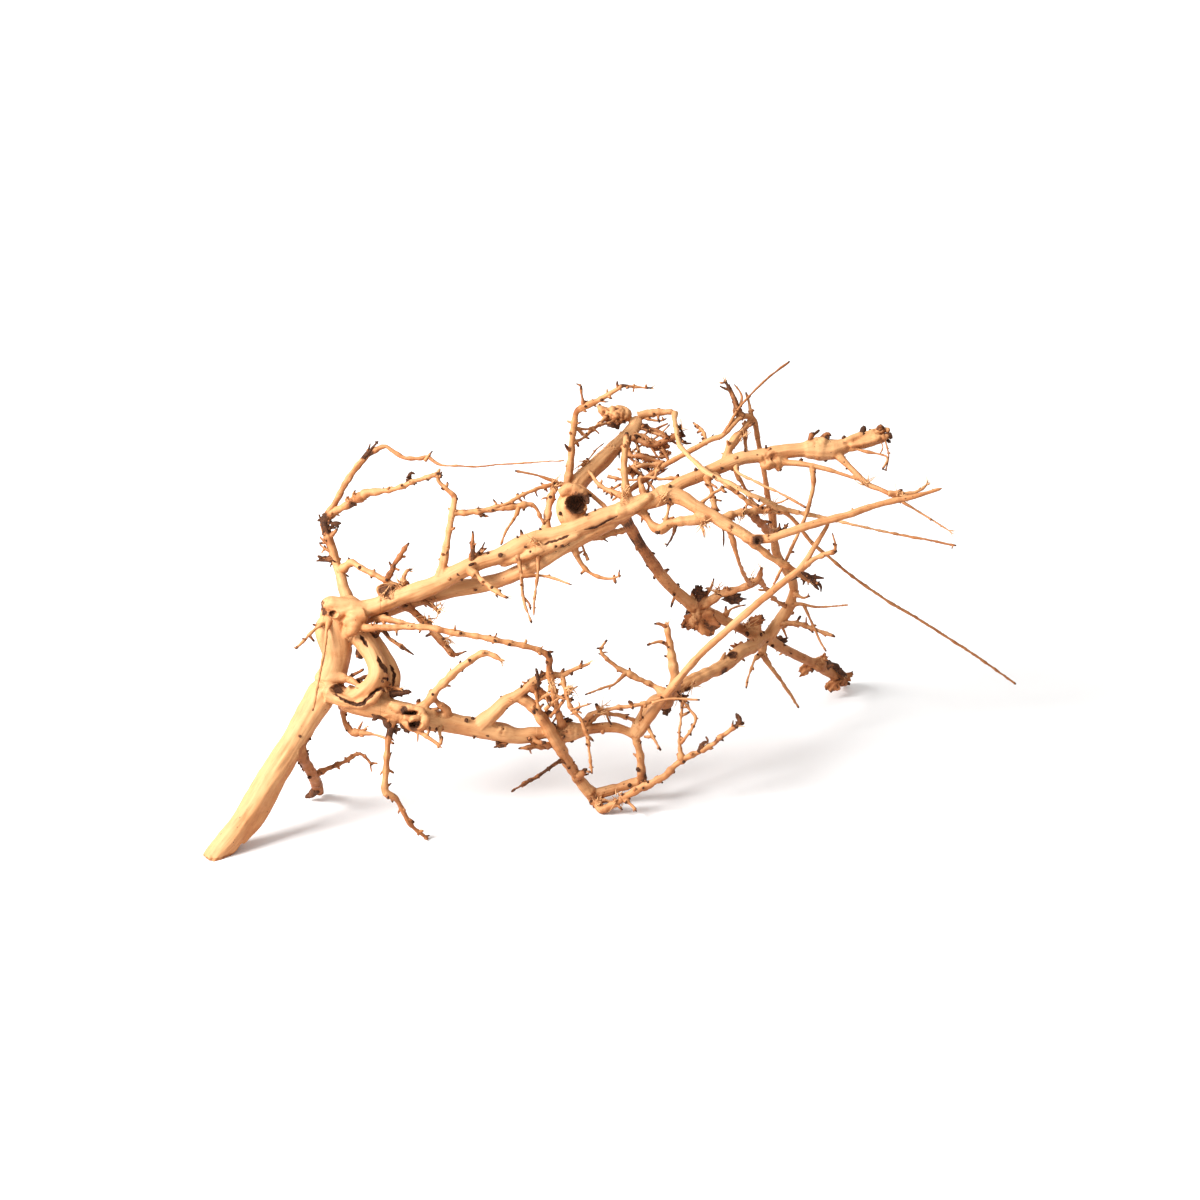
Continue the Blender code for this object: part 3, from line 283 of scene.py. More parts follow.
    ("near foot twig", (113, 83, 56, 3), (122, 89, 54, 2.4), (142, 97, 48, 2.2), (158, 105, 40, 1.8),
     (172, 94, 36, 1.1)),
    ("low hook", (142, 158, 14, 5), (143, 148, 28, 2.8), (144, 138, 30, 2.6), (149, 130, 30, 3),
     (154, 126, 28, 3.5), (167, 131, 24, 1.5)),
    ("low hook wisp", (153, 128, 29, 3), (178, 124, 20, 1.1), (194, 116, 14, 1)),
    ("down twig", (190, 147, 8, 6), (191, 132, 4, 4), (188, 118, 0, 3), (187, 102, -2, 3),
     (186, 88, -2, 2.8),
     (185, 75, 0, 3), (186, 67, 2, 3.5), (195, 62, 6, 3), (201, 52, 14, 2.5), (207, 40, 20, 2.3),
     (213, 32, 25, 2.2), (220, 26, 30, 2), (228, 20, 34, 1.5)),
    ("down twig claw", (190, 134, 4, 3), (180, 143, 0, 2), (172, 140, -2, 1.4)),
    ("fraying branch", (215, 143, 12, 7), (229, 160, 2, 4), (237, 170, -4, 3.6), (247, 180, -10, 3.5),
     (257, 190, -14, 3.3), (268, 198, -18, 3.2), (278, 205, -20, 3.2), (287, 207, -22, 3),
     (295, 204, -24, 2.5),
     (303, 199, -26, 1.6)),
    ("wedge", (244, 142, 16, 6), (246, 150, 10, 4), (238, 157, 4, 2.5), (232, 165, 0, 1.6)),
    ("splinter", (205, 146, 10, 5), (205, 138, 4, 3.5), (220, 128, -2, 2.5), (235, 118, -6, 2),
     (243, 111, -8, 1.1)),
    ("low spike", (242, 138, 16, 4), (240, 130, 8, 2), (241, 118, 6, 1.1)),
    ("loop stub", (175, 179, 0, 5), (192, 173, 4, 2.2), (202, 170, 2, 1.6)),
    # twigs of the leaning limb
    ("back twig", (590, 250, 146, 5), (601, 256, 136, 2), (620, 253, 126, 1.6), (652, 255, 110, 1.1)),
    ("back twig 2", (607, 254, 133, 1.6), (612, 243, 130, 1.3), (622, 220, 126, 1.1), (629, 208, 124, 1)),
    ("back twig 3", (580, 236, 157, 4), (592, 237, 148, 2.6), (605, 235, 140, 2.3), (625, 227, 128, 2),
     (638, 223, 120, 1.6)),
    ("back thorn", (592, 284, 116, 4), (603, 287, 104, 2.5), (610, 283, 98, 2.5), (621, 270, 90, 1.2)),
    ("grey stub", (565, 222, 164, 5), (565, 203, 160, 3.6)),
    ("leg twig", (565, 205, 160, 3), (575, 190, 170, 1.9), (585, 177, 180, 1.7), (603, 150, 198, 1.2)),
    ("hoop 1", (560, 281, 65, 2.6), (568, 270, 90, 1.8), (575, 262, 110, 1.8), (590, 252, 144, 2.4)),
    ("straggler", (564, 207, 161, 2.4), (555, 195, 150, 1.5), (548, 170, 142, 1.1)),
    # twigs under the upper limb
    ("under twig 1", (317, 308, -19, 4), (321, 288, -26, 1.8), (324, 260, -34, 1.5), (332, 237, -40, 1)),
    ("under twig 2", (339, 315, -20, 3), (338, 290, -28, 1.5), (335, 262, -34, 1.2), (334, 244, -38, 1)),
    ("under twig 3", (321, 284, -27, 2), (345, 284, -26, 1.5), (372, 275, -38, 1)),
    ("under twig 4", (372, 324, -20, 5), (378, 302, -12, 2.6), (390, 287, -10, 2), (408, 281, -12, 1.6),
     (422, 285, -16, 1)),
    ("under bark strip", (380, 323, -16, 4), (392, 322, 0, 3), (405, 324, 6, 2.8), (418, 329, 8, 2.6),
     (432, 332, 0, 3)),
    ("lump spur", (576, 405, -12, 5), (578, 398, -12, 6), (578, 388, -12, 2)),
)

# Burls, knots and swellings: across, up, back, half width, half height, half depth.
BURLS = (
    ("crown knob", 133, 246, 16, 13, 13, 12),
    ("crown", 150, 242, 14, 13, 12, 12),
    ("knot", 371, 352, -20, 15, 20, 13),
    ("high burl", 418, 446, 40, 14, 9, 10),
    ("arm burl", 498, 242, 98, 9, 12, 9),
    ("pale burl", 556, 229, 154, 8, 10, 9),
    ("end burl", 646, 179, 279, 9, 8, 9),
    ("end burl 2", 624, 194, 241, 8, 7, 8),
    ("limb swelling", 368, 128, 42, 10, 11, 11),
    ("dark swelling", 620, 411, -12, 12, 12, 11),
    ("fork burl", 466, 158, 46, 8, 8, 12),
    ("broken lump", 187, 270, 3, 11, 8, 9),
)

# Finer twigs that only the visual model carries.
FINE_TWIGS = (
    ("fine crown stick", (144, 180, 14, 1.7), (155, 186, 12, 1.5), (164, 191, 11, 1.7)),
    ("fine crown stick 2", (153, 177, 10, 1.7), (162, 182, 8, 1.6), (168, 185, 7, 1.5)),
    ("fine crown stick 3", (156, 174, 8, 1.5), (162, 176, 6, 1.7), (165, 177, 6, 1.9)),
    ("fine loop thorn", (190, 166, 6, 2.8), (200, 167, 4, 2.6), (211, 168, 2, 1.6)),
    ("fine crown nub", (160, 214, 12, 3), (160, 206, 11, 3.2), (160, 201, 11, 3)),
    ("fine end stick", (634, 197, 262, 1.8), (642, 191, 264, 1.6), (650, 184, 268, 1.2)),
    ("fine left spike", (163, 402, 16, 2), (167, 409, 15, 1.3), (170, 417, 14, .8)),
    ("fine left spike 2", (165, 404, 16, 2), (171, 411, 14, 1.3), (178, 419, 12, .8)),
    ("fine crow foot", (606, 284, 101, 2), (617, 283, 96, 1.8), (626, 282, 94, .9)),
    ("fine crow foot 2", (603, 287, 104, 2), (606, 280, 102, 1.8), (605, 275, 102, .9)),
    ("fine crow foot 3", (614, 279, 95, 1.8), (622, 275, 92, 1.4), (623, 268, 92, .8)),
    ("fine under fork", (324, 262, -32, 1.3), (329, 257, -34, 1.1), (331, 250, -34, .8)),
    ("fine cross a", (417, 418, 28, 1.6), (430, 402, 22, 1.3), (446, 392, 14, 1.2), (458, 380, 4, .8)),
    ("fine cross b", (424, 400, 26, 1.4), (436, 412, 30, 1.2), (452, 420, 32, 1.2), (470, 436, 34, .8)),
    ("fine cross c", (408, 384, 12, 1.6), (430, 380, 4, 1.2), (452, 384, 2, 1.1), (468, 392, 2, .8)),
    ("fine cross d", (420, 428, 34, 1.4), (436, 418, 30, 1.2), (440, 404, 24, 1.4), (452, 398, 20, 1)),
    ("fine left fork", (130, 324, 28, 2.2), (134, 328, 26, 1.8), (137, 332, 25, 1.2)),
    ("fine left fork 2", (131, 336, 27, 2.2), (137, 337, 25, 1.8), (141, 337, 24, 1.3)),
    ("fine left fork 3", (127, 333, 28, 1.8), (121, 339, 28, 1.5), (118, 346, 28, .9)),
    ("fine left splinter", (130, 314, 28, 1.6), (122, 320, 27, 1.1), (119, 324, 27, .7)),
    ("fine left splinter 2", (132, 308, 28, 1.6), (121, 314, 26, 1), (119, 318, 26, .7)),
    ("fine twig curl", (212, 377, -8, 2), (209, 382, -6, 1.8), (211, 387, -6, 1.4), (215, 386, -7, 1)),
    ("fine twig stub", (172, 366, 8, 1.8), (181, 369, 6, 1.6), (184, 373, 5, 1)),
    ("fine twig stub 2", (152, 360, 16, 1.8), (153, 366, 15, 1.3), (155, 370, 14, .8)),
    ("fine fork stick", (338, 172, 8, 2), (338, 182, 2, 1.6), (336, 192, -2, 1.2)),
    ("fine fork stick 2", (330, 168, 10, 2.6), (333, 175, 8, 2.2), (328, 179, 6, 1.4)),
    ("fine fork stick 3", (340, 146, 16, 2), (337, 160, 8, 1.5), (335, 172, 4, 1)),
    ("fine fork stick 4", (345, 150, 14, 2), (356, 160, 8, 1.5), (368, 168, 4, 1.1), (378, 174, 2, .8)),
    ("fine fork stick 5", (336, 158, 12, 1.8), (350, 166, 6, 1.4), (362, 163, 4, 1.3), (374, 160, 2, 1)),
    ("fine fork stick 6", (350, 143, 20, 1.8), (360, 154, 12, 1.5), (366, 164, 6, 1)),
    ("fine fork stub", (348, 114, 44, 3), (338, 113, 34, 2.6), (326, 112, 28, 2.2), (318, 111, 26, 1.4)),
    ("fine fork stub 2", (336, 113, 34, 2.2), (330, 119, 30, 1.6), (327, 122, 28, 1)),
    ("fine low nub", (378, 82, 66, 2.6), (384, 88, 60, 2.2), (387, 90, 58, 1.5)),
    ("fine end fork", (536, 133, 18, 2), (540, 140, 14, 1.6), (538, 146, 12, .9)),
    ("fine end fork 2", (500, 108, 37, 2.2), (503, 116, 32, 1.6), (508, 118, 30, 1.2), (506, 123, 28, .8)),
    ("fine tangle a", (438, 434, 40, 1.8), (452, 428, 34, 1.5), (466, 424, 30, 1.6), (486, 424, 26, 1.1)),
    ("fine tangle b", (428, 422, 36, 2), (440, 426, 30, 1.6), (456, 418, 24, 1.9), (470, 424, 20, 1.5)),
    ("fine tangle c", (430, 404, 26, 1.9), (448, 403, 22, 1.6), (468, 404, 18, 1.5)),
    ("fine tangle d", (434, 398, 24, 1.5), (452, 393, 18, 1.3), (470, 396, 14, 1.2)),
    ("fine tangle e", (446, 420, 26, 1.5), (454, 409, 22, 1.2), (461, 398, 18, 1.1)),
    ("fine tangle f", (432, 394, 20, 1.8), (440, 384, 8, 1.5), (449, 377, -2, 1.2)),
    ("fine tangle g", (446, 382, -4, 1.4), (453, 389, 0, 1.2), (459, 395, 2, 1)),
    ("fine tangle h", (484, 424, 26, 1.8), (480, 432, 24, 1.2), (476, 437, 24, .9)),
    ("fine tangle i", (478, 425, 26, 1.6), (484, 418, 24, 1.2), (492, 417, 22, .9)),
    ("fine end hair", (684, 422, -18, 1), (687, 411, -20, .8), (688, 401, -20, .7), (685, 389, -22, .7)),
    ("fine end hair 2", (680, 420, -18, 1), (682, 412, -20, .7), (679, 405, -21, .7)),
    ("fine end knob", (662, 427, -14, 2.6), (663, 431, -15, 2.6), (664, 434, -16, 2)),
    ("fine end knob 2", (676, 428, -14, 2.4), (680, 432, -16, 2.2), (684, 431, -16, 1.8)),
    ("fine end knob 3", (610, 418, -14, 2.4), (611, 424, -16, 2.2), (614, 427, -17, 1.5)),
    ("fine end knob 4", (622, 421, -12, 2.4), (627, 426, -13, 2), (631, 424, -14, 1.6)),
    ("fine end knob 5", (684, 424, -14, 2.4), (689, 424, -15, 2.6), (691, 421, -15, 2)),
    ("fine high hook", (381, 474, -18, 1.1), (376, 476, -18, .7)),
    ("fine long prong", (276, 303, -17, 1.4), (287, 312, -20, .8)),
    ("fine crown spike", (440, 444, 44, 1.6), (458, 440, 40, 1), (467, 442, 38, .7)),
    ("fine spur tie", (382, 394, 4, 1.2), (390, 402, 8, .8), (398, 412, 14, .8), (404, 417, 18, .7)),
    ("fine post tie", (403, 369, -14, 1.6), (413, 372, -16, 1.3), (422, 376, -18, 1.2)),
    ("fine post tie 2", (433, 393, 6, 1.8), (443, 382, -2, 1.4), (452, 373, -10, 1.4), (456, 366, -18, 1.6)),
    ("fine hook", (455, 383, -15, 1.5), (458, 393, -6, 1.2), (463, 399, 4, 1.2)),
    ("fine drop", (504, 346, -36, 2), (502, 334, -38, 1.2), (504, 322, -40, .7)),
    ("fine drop 2", (522, 337, -40, 1.6), (523, 326, -40, 1), (523, 312, -40, .6)),
    ("fine drop 3", (476, 337, -35, 2), (472, 323, -38, 1.2), (466, 313, -40, .7)),
    ("fine fork", (634, 309, -49, 1.4), (634, 317, -52, 1), (631, 327, -54, .7)),
    ("fine bow", (555, 350, -26, 1.6), (564, 356, -30, 1.2), (576, 356, -34, 1), (588, 361, -38, .8)),
    ("fine knot twig", (505, 262, 90, 2), (512, 274, 84, 1.4), (515, 282, 80, .9)),
    ("fine leg twig", (526, 244, 124, 2), (535, 252, 116, 1.1), (548, 255, 110, .7)),
    ("fine leg twig 2", (575, 238, 160, 2), (585, 232, 164, 1.3), (590, 222, 168, .8)),
    ("fine low twig", (448, 132, 46, 2), (455, 120, 40, 1.5), (461, 109, 36, .9)),
    ("fine low tie", (402, 58, 83, 2), (410, 57, 78, 1.4), (417, 54, 71, 1.4)),
    ("fine weave", (442, 157, 26, 1.6), (441, 147, 36, 1.3), (440, 133, 46, 1.4)),
    ("fine weave 2", (452, 157, 20, 1.5), (470, 161, 18, 1.1), (500, 160, 14, .7)),
    ("fine hanging", (370, 150, -6, 1.5), (380, 153, -6, 1.1), (392, 157, -10, .7)),
    ("fine branch", (388, 300, -9, 1.6), (384, 310, -6, 1.2), (381, 318, -8, 1.2)),
    ("fine side", (225, 399, -8, 1.6), (232, 408, -12, .9)),
    ("fine top", (540, 453, 0, 1.6), (542, 464, 0, 1), (534, 476, 0, .7)),
    ("fine top 2", (545, 430, 4, 2), (546, 412, 0, 1.8), (545, 402, -8, 2)),
    ("fine arch twig", (596, 268, 130, 2.4), (604, 262, 122, 1.5), (612, 264, 116, .8)),
    ("fine arch twig 2", (575, 326, 82, 2.2), (584, 330, 76, 1.5), (590, 338, 70, .8)),
    ("fine low prong", (424, 60, 66, 2.4), (432, 53, 62, 1.4), (437, 47, 60, .7)),
)

# Limbs that the sun bleached more than others, or that kept a redder skin: the tone at their start and end.
BLEACHED = {"pale rod": (1.15, -.2), "top long wisp": (0, -.35), "left top twig": (.3, -.2),
            "crossing twig": (.6, 0), "high twig": (.3, .25), "long straight twig": (.25, .1)}

# How dark each limb's bark is, from 0 for bare wood to 1; every other limb is nearly bare.
BARK = {
    "near foot": .54, "near foot toe": .62, "near foot twig": .5, "down twig": .3, "down twig claw": .7,
    "thorny hook": .62, "left side stub": .5, "left thorn": .65, "left top twig": .3, "left limb": .3,
    "short prong": .5, "loop thorn": .5, "crown fork": .5, "crown fork 2": .5, "crown fork prong": .6,
    "leaning stub": .6, "leaning prong": .7, "back thorn": .85, "back twig 3": .35, "grey stub": .4,
    "low hook": .35, "burl twig": .55, "tangle 2": .3, "tangle 1": .3, "tangle 3": .35, "top spike": .6,
    "fine left spike": .75, "fine left spike 2": .8, "thick rising limb": -.2, "fine crow foot": .95,
    "fine crow foot 2": .95, "fine crow foot 3": .9,
    "under twig 1": .38, "under twig 2": .3, "fine under fork": .5, "fine cross a": .35,
    "fine left fork": .4,
    "fine left fork 2": .8, "fine left fork 3": .2, "fine twig curl": .75, "fine twig stub": .3,
    "fine fork stick": .85, "fine fork stick 2": .6, "fine fork stub": .45, "fine fork stub 2": .5,
    "fine end fork": .6, "fine end fork 2": .7, "fine tangle a": .25, "fine tangle b": .3,
    "fine tangle c": .25, "fine tangle e": .4, "fine tangle h": .8,
    "fine tangle i": .7, "fine end knob": .75, "fine end knob 2": .6, "fine end knob 3": .6,
    "fine end knob 4": .6, "fine end knob 5": .7, "fine end hair": .3, "fine crown stick": .4,
    "fine crown stick 2": .6, "fine crown stick 3": .9, "fine loop thorn": .8,
    "fine crown nub": .9, "fine end stick": .9, "under strand spur": .55, "middle branch lobe": .45,
    "leaf-shaped hoop": .3, "high hook": .45,
    "fine drop 2": .8, "fine drop 3": .7, "leaning arm": .4, "knobby twig top": .35, "wedge": .3,
}

# Dark places on the wood: across, up, back, reach and strength.
DARK_SPOTS = (
    (378, 356, -36, 12, 1.0), (211, 147, -3, 7, 1.0), (216, 136, -2, 7, 1.0), (134, 246, 6, 5.5, 1.0),
    (138, 170, 1, 8, .72),
    (117, 256, 10, 8, 1.0), (124, 248, 8, 4, .8), (131, 262, 12, 4, .6), (190, 127, 4, 8, .9),
    (112, 76, 22, 7, .8),
    (104, 92, 40, 6, .7), (205, 150, -6, 5, .9), (222, 132, -4, 4, .8), (226, 146, -6, 4, .6),
    (149, 221, -12, 3.6, 1.1), (115, 235, 16, 5, .7), (160, 203, 10, 5, .9),
    (184, 270, -6, 9, .7), (190, 269, 0, 6, .8), (194, 272, -4, 4, .7), (557, 319, -54, 6, .9),
    (123, 342, 26, 7, .9), (128, 330, 26, 5, .7),
    (445, 304, 28, 13, .55), (437, 322, 12, 14, .75), (425, 340, -10, 10, .8), (498, 236, 88, 13, .45),
    (455, 294, 38, 9, .6), (611, 421, -18, 4, .6), (633, 398, -18, 4, .7), (644, 416, -16, 3.5, .6),
    (646, 176, 275, 9, .55), (624, 194, 238, 9, .4), (412, 437, 36, 8, .6), (396, 132, 44, 7, .5),
    (366, 128, 34, 8, .5), (378, 80, 68, 5, .6), (394, 61, 80, 7, .5), (443, 78, 74, 5, .6),
    (534, 206, 104, 6, .9), (525, 188, 96, 5, .8), (468, 150, 52, 8, .75), (486, 160, 66, 5, .5),
    (350, 207, -14, 5, .8), (351, 193, -7, 4, .7), (565, 245, 160, 7, .8), (546, 234, 140, 7, .5),
    (572, 404, -14, 6, .6), (189, 172, 5, 7, .5), (155, 160, 0, 6, .45), (196, 188, 12, 5, .45),
    (503, 268, 84, 6, .9), (560, 294, 62, 5, .8), (240, 386, -18, 5, .7), (377, 449, -14, 4, .6),
    (427, 428, -6, 5, .8), (158, 362, 12, 5, .5), (170, 408, 16, 5, .7), (111, 118, 10, 4, .7),
    (425, 474, -24, 4, .9), (432, 473, -24, 3, .6), (451, 471, -24, 5, 1.0), (366, 344, -38, 5, .7),
    (369, 368, -36, 5, .4), (391, 366, -36, 6, .7), (388, 346, -36, 6, .8), (323, 262, -32, 5, .5),
    (325, 240, -33, 5, .6), (337, 262, -33, 4, .5), (334, 230, -34, 5, .5), (310, 470, -24, 4, .5),
    (161, 405, 16, 4, .9), (163, 393, 18, 3, .7), (128, 318, 28, 6, .5), (124, 336, 26, 6, .9),
    (152, 356, 16, 6, .7),
    (170, 364, 10, 5, .6), (212, 380, -4, 6, .85), (236, 384, -12, 6, .75), (254, 364, -18, 3, .8),
    (266, 351, -20, 3, .8), (284, 345, -21, 5, .6), (220, 392, -6, 4, .5), (330, 352, -22, 4, .5),
    (325, 166, 10, 5, .6), (345, 140, 16, 5, .4), (372, 90, 62, 5, .45), (444, 84, 74, 5, .9),
    (517, 120, 30, 4, .8),
    (524, 124, 26, 4, .7), (350, 196, -10, 5, .6), (346, 214, -16, 4, .7), (300, 219, -26, 3, .5),
    (242, 229, -24, 3, .5), (492, 104, 40, 3, .5), (336, 162, 14, 5, .5), (305, 300, -20, 5, .35),
    (346, 318, -24, 6, .4), (411, 344, -28, 6, .5), (508, 340, -40, 6, .5),
)

# Hollows in the wood: across, up, back, half width, half height and depth.
HOLLOWS = (
    (377, 357, -36, 10, 9, 11), (211, 147, -5, 8, 3, 5), (216, 136, -4, 6.5, 4.5, 6),
    (134, 246, 3, 4.2, 3.6, 6),
    (139, 171, 0, 9, 4.5, 3),
    (557, 319, -55, 3, 3, 4), (184, 270, -7, 7, 5, 4), (534, 206, 103, 3.5, 4, 3), (525, 188, 95, 3, 3, 2),
)

# Cracks along the grain: half width, depth, then places across, up and back. Each is carved in and painted dark
# inside, as painted shade.
CRACKS = (
    (1.5, 3.0, (160, 225, -2), (164, 219, -3), (168, 213, -3)),
    (1.8, 3.5, (178, 204, -8), (181, 196, -8), (189, 186, -8)),
    (1.4, 3.5, (190, 195, 2), (194, 186, 2), (193, 174, 2)),
    (1.3, 3.0, (180, 182, -6), (187, 181, -4), (193, 178, -2)),
    (1.6, 3.5, (132, 168, 0), (146, 159, -3), (157, 155, -5), (164, 157, -6), (176, 169, -8), (190, 175, -4)),
    (1.2, 2.0, (343, 314, -24), (350, 318, -25), (357, 319, -26), (370, 325, -27)),
    (1.1, 2.0, (350, 308, -20), (356, 313, -22), (363, 314, -23), (373, 320, -26)),
    (1.0, 1.8, (316, 301, -14), (331, 308, -18), (344, 309, -22)),
    (0.9, 1.8, (384, 330, -24), (396, 333, -24), (405, 338, -24), (418, 344, -24)),
)

# Rough, lumpy places: across, up, back, reach and how far the lumps stand out. They are darkened, partly as bark and
# most in the low places between the lumps, where the dark is painted shade.
RAGGED = (
    (415, 446, 36, 20, 3.0), (498, 240, 88, 18, 2.6), (646, 180, 272, 20, 2.2), (624, 194, 238, 13, 2.0),
    (378, 357, -30, 17, 1.8), (558, 240, 148, 14, 3.5), (684, 425, -17, 16, 3.0), (214, 142, 0, 16, 1.6),
    (128, 254, 8, 13, 2.0), (424, 358, -30, 12, 2.0), (545, 212, 136, 13, 3.0), (620, 420, -18, 12, 1.8),
    (568, 400, -14, 12, 2.0), (302, 300, -12, 12, 1.6), (11, 0, 4, 12, 1.4), (372, 130, 36, 10, 1.6),
    (300, 132, 22, 10, 1.6), (378, 82, 66, 10, 1.8), (396, 62, 78, 12, 2.0), (186, 264, -6, 14, 1.8),
)

# Flat ragged flakes of bark that cling to the wood: across, up, back, half width, half height, turn
# and darkness.
FLAKES = (
    (502, 238, 92, 14, 13, 15, .38), (490, 236, 94, 6, 9, 60, .5), (532, 262, 78, 12, 5, 8, .95),
    (500, 267, 82, 5, 8, 15, 1.0), (558, 240, 146, 10, 6, -20, .35), (541, 211, 134, 10, 5, 25, .4),
    (552, 216, 140, 6, 5, 60, .4), (612, 190, 238, 9, 6, -35, .25), (628, 200, 240, 8, 5, -30, .25),
    (640, 172, 268, 9, 6, -40, .3), (652, 180, 276, 9, 5, -20, .3), (585, 221, 192, 6, 3.5, 0, .9),
    (414, 434, 36, 6, 4, 20, .85), (466, 148, 52, 6, 4, 10, .9), (486, 158, 66, 6, 3.5, -20, .7),
    (103, 95, 42, 4, 6, 20, .7), (608, 318, 34, 9, 3.5, -50, 1.0), (600, 312, 40, 5, 3, 10, .9),
    (470, 405, 26, 6, 3.5, 20, .4), (462, 414, 28, 8, 4, -20, .3), (446, 402, 20, 7, 4, 30, .45),
    (206, 133, 2, 5, 5, 30, .85), (195, 131, 4, 5, 4, -30, .9), (395, 55, 82, 6, 3.5, 0, .6),
    (444, 77, 72, 4, 3.5, 0, .7), (392, 341, -30, 4, 3, 20, .8), (366, 138, 36, 5, 4, 10, .6),
    (352, 134, 30, 5, 3, 10, .6), (300, 114, 28, 7, 3, -10, .6), (432, 388, 6, 6, 4, 60, .4),
    (160, 363, 12, 6, 3, 20, .25), (152, 357, 16, 5, 2.6, 30, .55), (169, 366, 9, 4, 2.6, -10, .3),
    (148, 361, 18, 3.5, 2.2, 50, .3), (212, 378, -6, 5, 2.8, 15, .8), (208, 379, -5, 2.6, 3, 0, .8),
    (237, 385, -12, 5, 2.6, 20, .75), (127, 340, 26, 4.5, 4, 30, .85), (132, 333, 26, 4, 2.4, 0, .9),
    (124, 330, 27, 3, 5, 10, .7), (131, 325, 27, 2.4, 4, 20, .3), (124, 302, 29, 5, 2.4, 0, .7),
    (120, 304, 28, 3, 2.2, 30, .8), (336, 174, 8, 5, 4, -30, .6), (331, 178, 8, 3, 4, 10, .7),
    (349, 148, 20, 4, 3, 30, .7), (341, 186, -2, 2.4, 4, 10, .8), (376, 84, 66, 4, 3, 40, .35),
    (372, 96, 56, 3.5, 2.6, 20, .3), (520, 122, 28, 4, 2.6, 30, .9), (540, 137, 16, 3.4, 3, 0, .8),
    (284, 343, -22, 4, 2.2, 10, .8), (162, 170, -2, 3, 2.4, 0, .7), (299, 117, 30, 4, 2.4, 0, .7),
)

# Dark knobs: across, up, back and size.
KNOBS = (
    (611, 423, -16, 4), (628, 424, -16, 4), (566, 412, -14, 3), (568, 398, -15, 3), (601, 400, -16, 2.6),
    (662, 427, -12, 2.6), (670, 430, -12, 3), (680, 428, -12, 2.6), (644, 421, -14, 3.4),
    (688, 419, -12, 2.4),
    (266, 139, 14, 2.6), (273, 143, 16, 2.4), (274, 124, 20, 2.4), (297, 116, 26, 2.6), (368, 140, 40, 3),
    (372, 117, 38, 2.6), (389, 138, 44, 2.4), (244, 150, 12, 2.6), (222, 153, 8, 2.6), (235, 129, 12, 2.2),
    (113, 119, 10, 2.4), (112, 109, 12, 2), (205, 134, 6, 2.6), (370, 369, -24, 3.4), (360, 346, -30, 3),
    (386, 345, -30, 2.8), (389, 363, -26, 3), (395, 350, -28, 2.4), (340, 332, -24, 2.4),
    (318, 322, -22, 2.2),
    (288, 306, -20, 2.2), (262, 280, -16, 2), (448, 366, -26, 2.6), (470, 372, -26, 2.4),
    (496, 389, -20, 2.4),
    (512, 381, -18, 2.2), (545, 410, -16, 2.4), (410, 440, 34, 3.2), (424, 438, 34, 3), (430, 452, 38, 2.6),
    (490, 250, 92, 4), (504, 232, 92, 4), (493, 228, 96, 3.4), (510, 238, 102, 3), (534, 262, 78, 4.4),
    (652, 182, 270, 3.4), (640, 172, 270, 3.4), (656, 174, 284, 3), (618, 190, 236, 3), (631, 198, 242, 3),
    (563, 222, 152, 3), (549, 226, 144, 3), (576, 212, 172, 2.6), (118, 340, 28, 2.4), (129, 344, 26, 2.2),
    (180, 180, -6, 2.2), (163, 176, 2, 2.6), (468, 148, 44, 3), (461, 152, 44, 2.6), (476, 168, 60, 2.6),
)

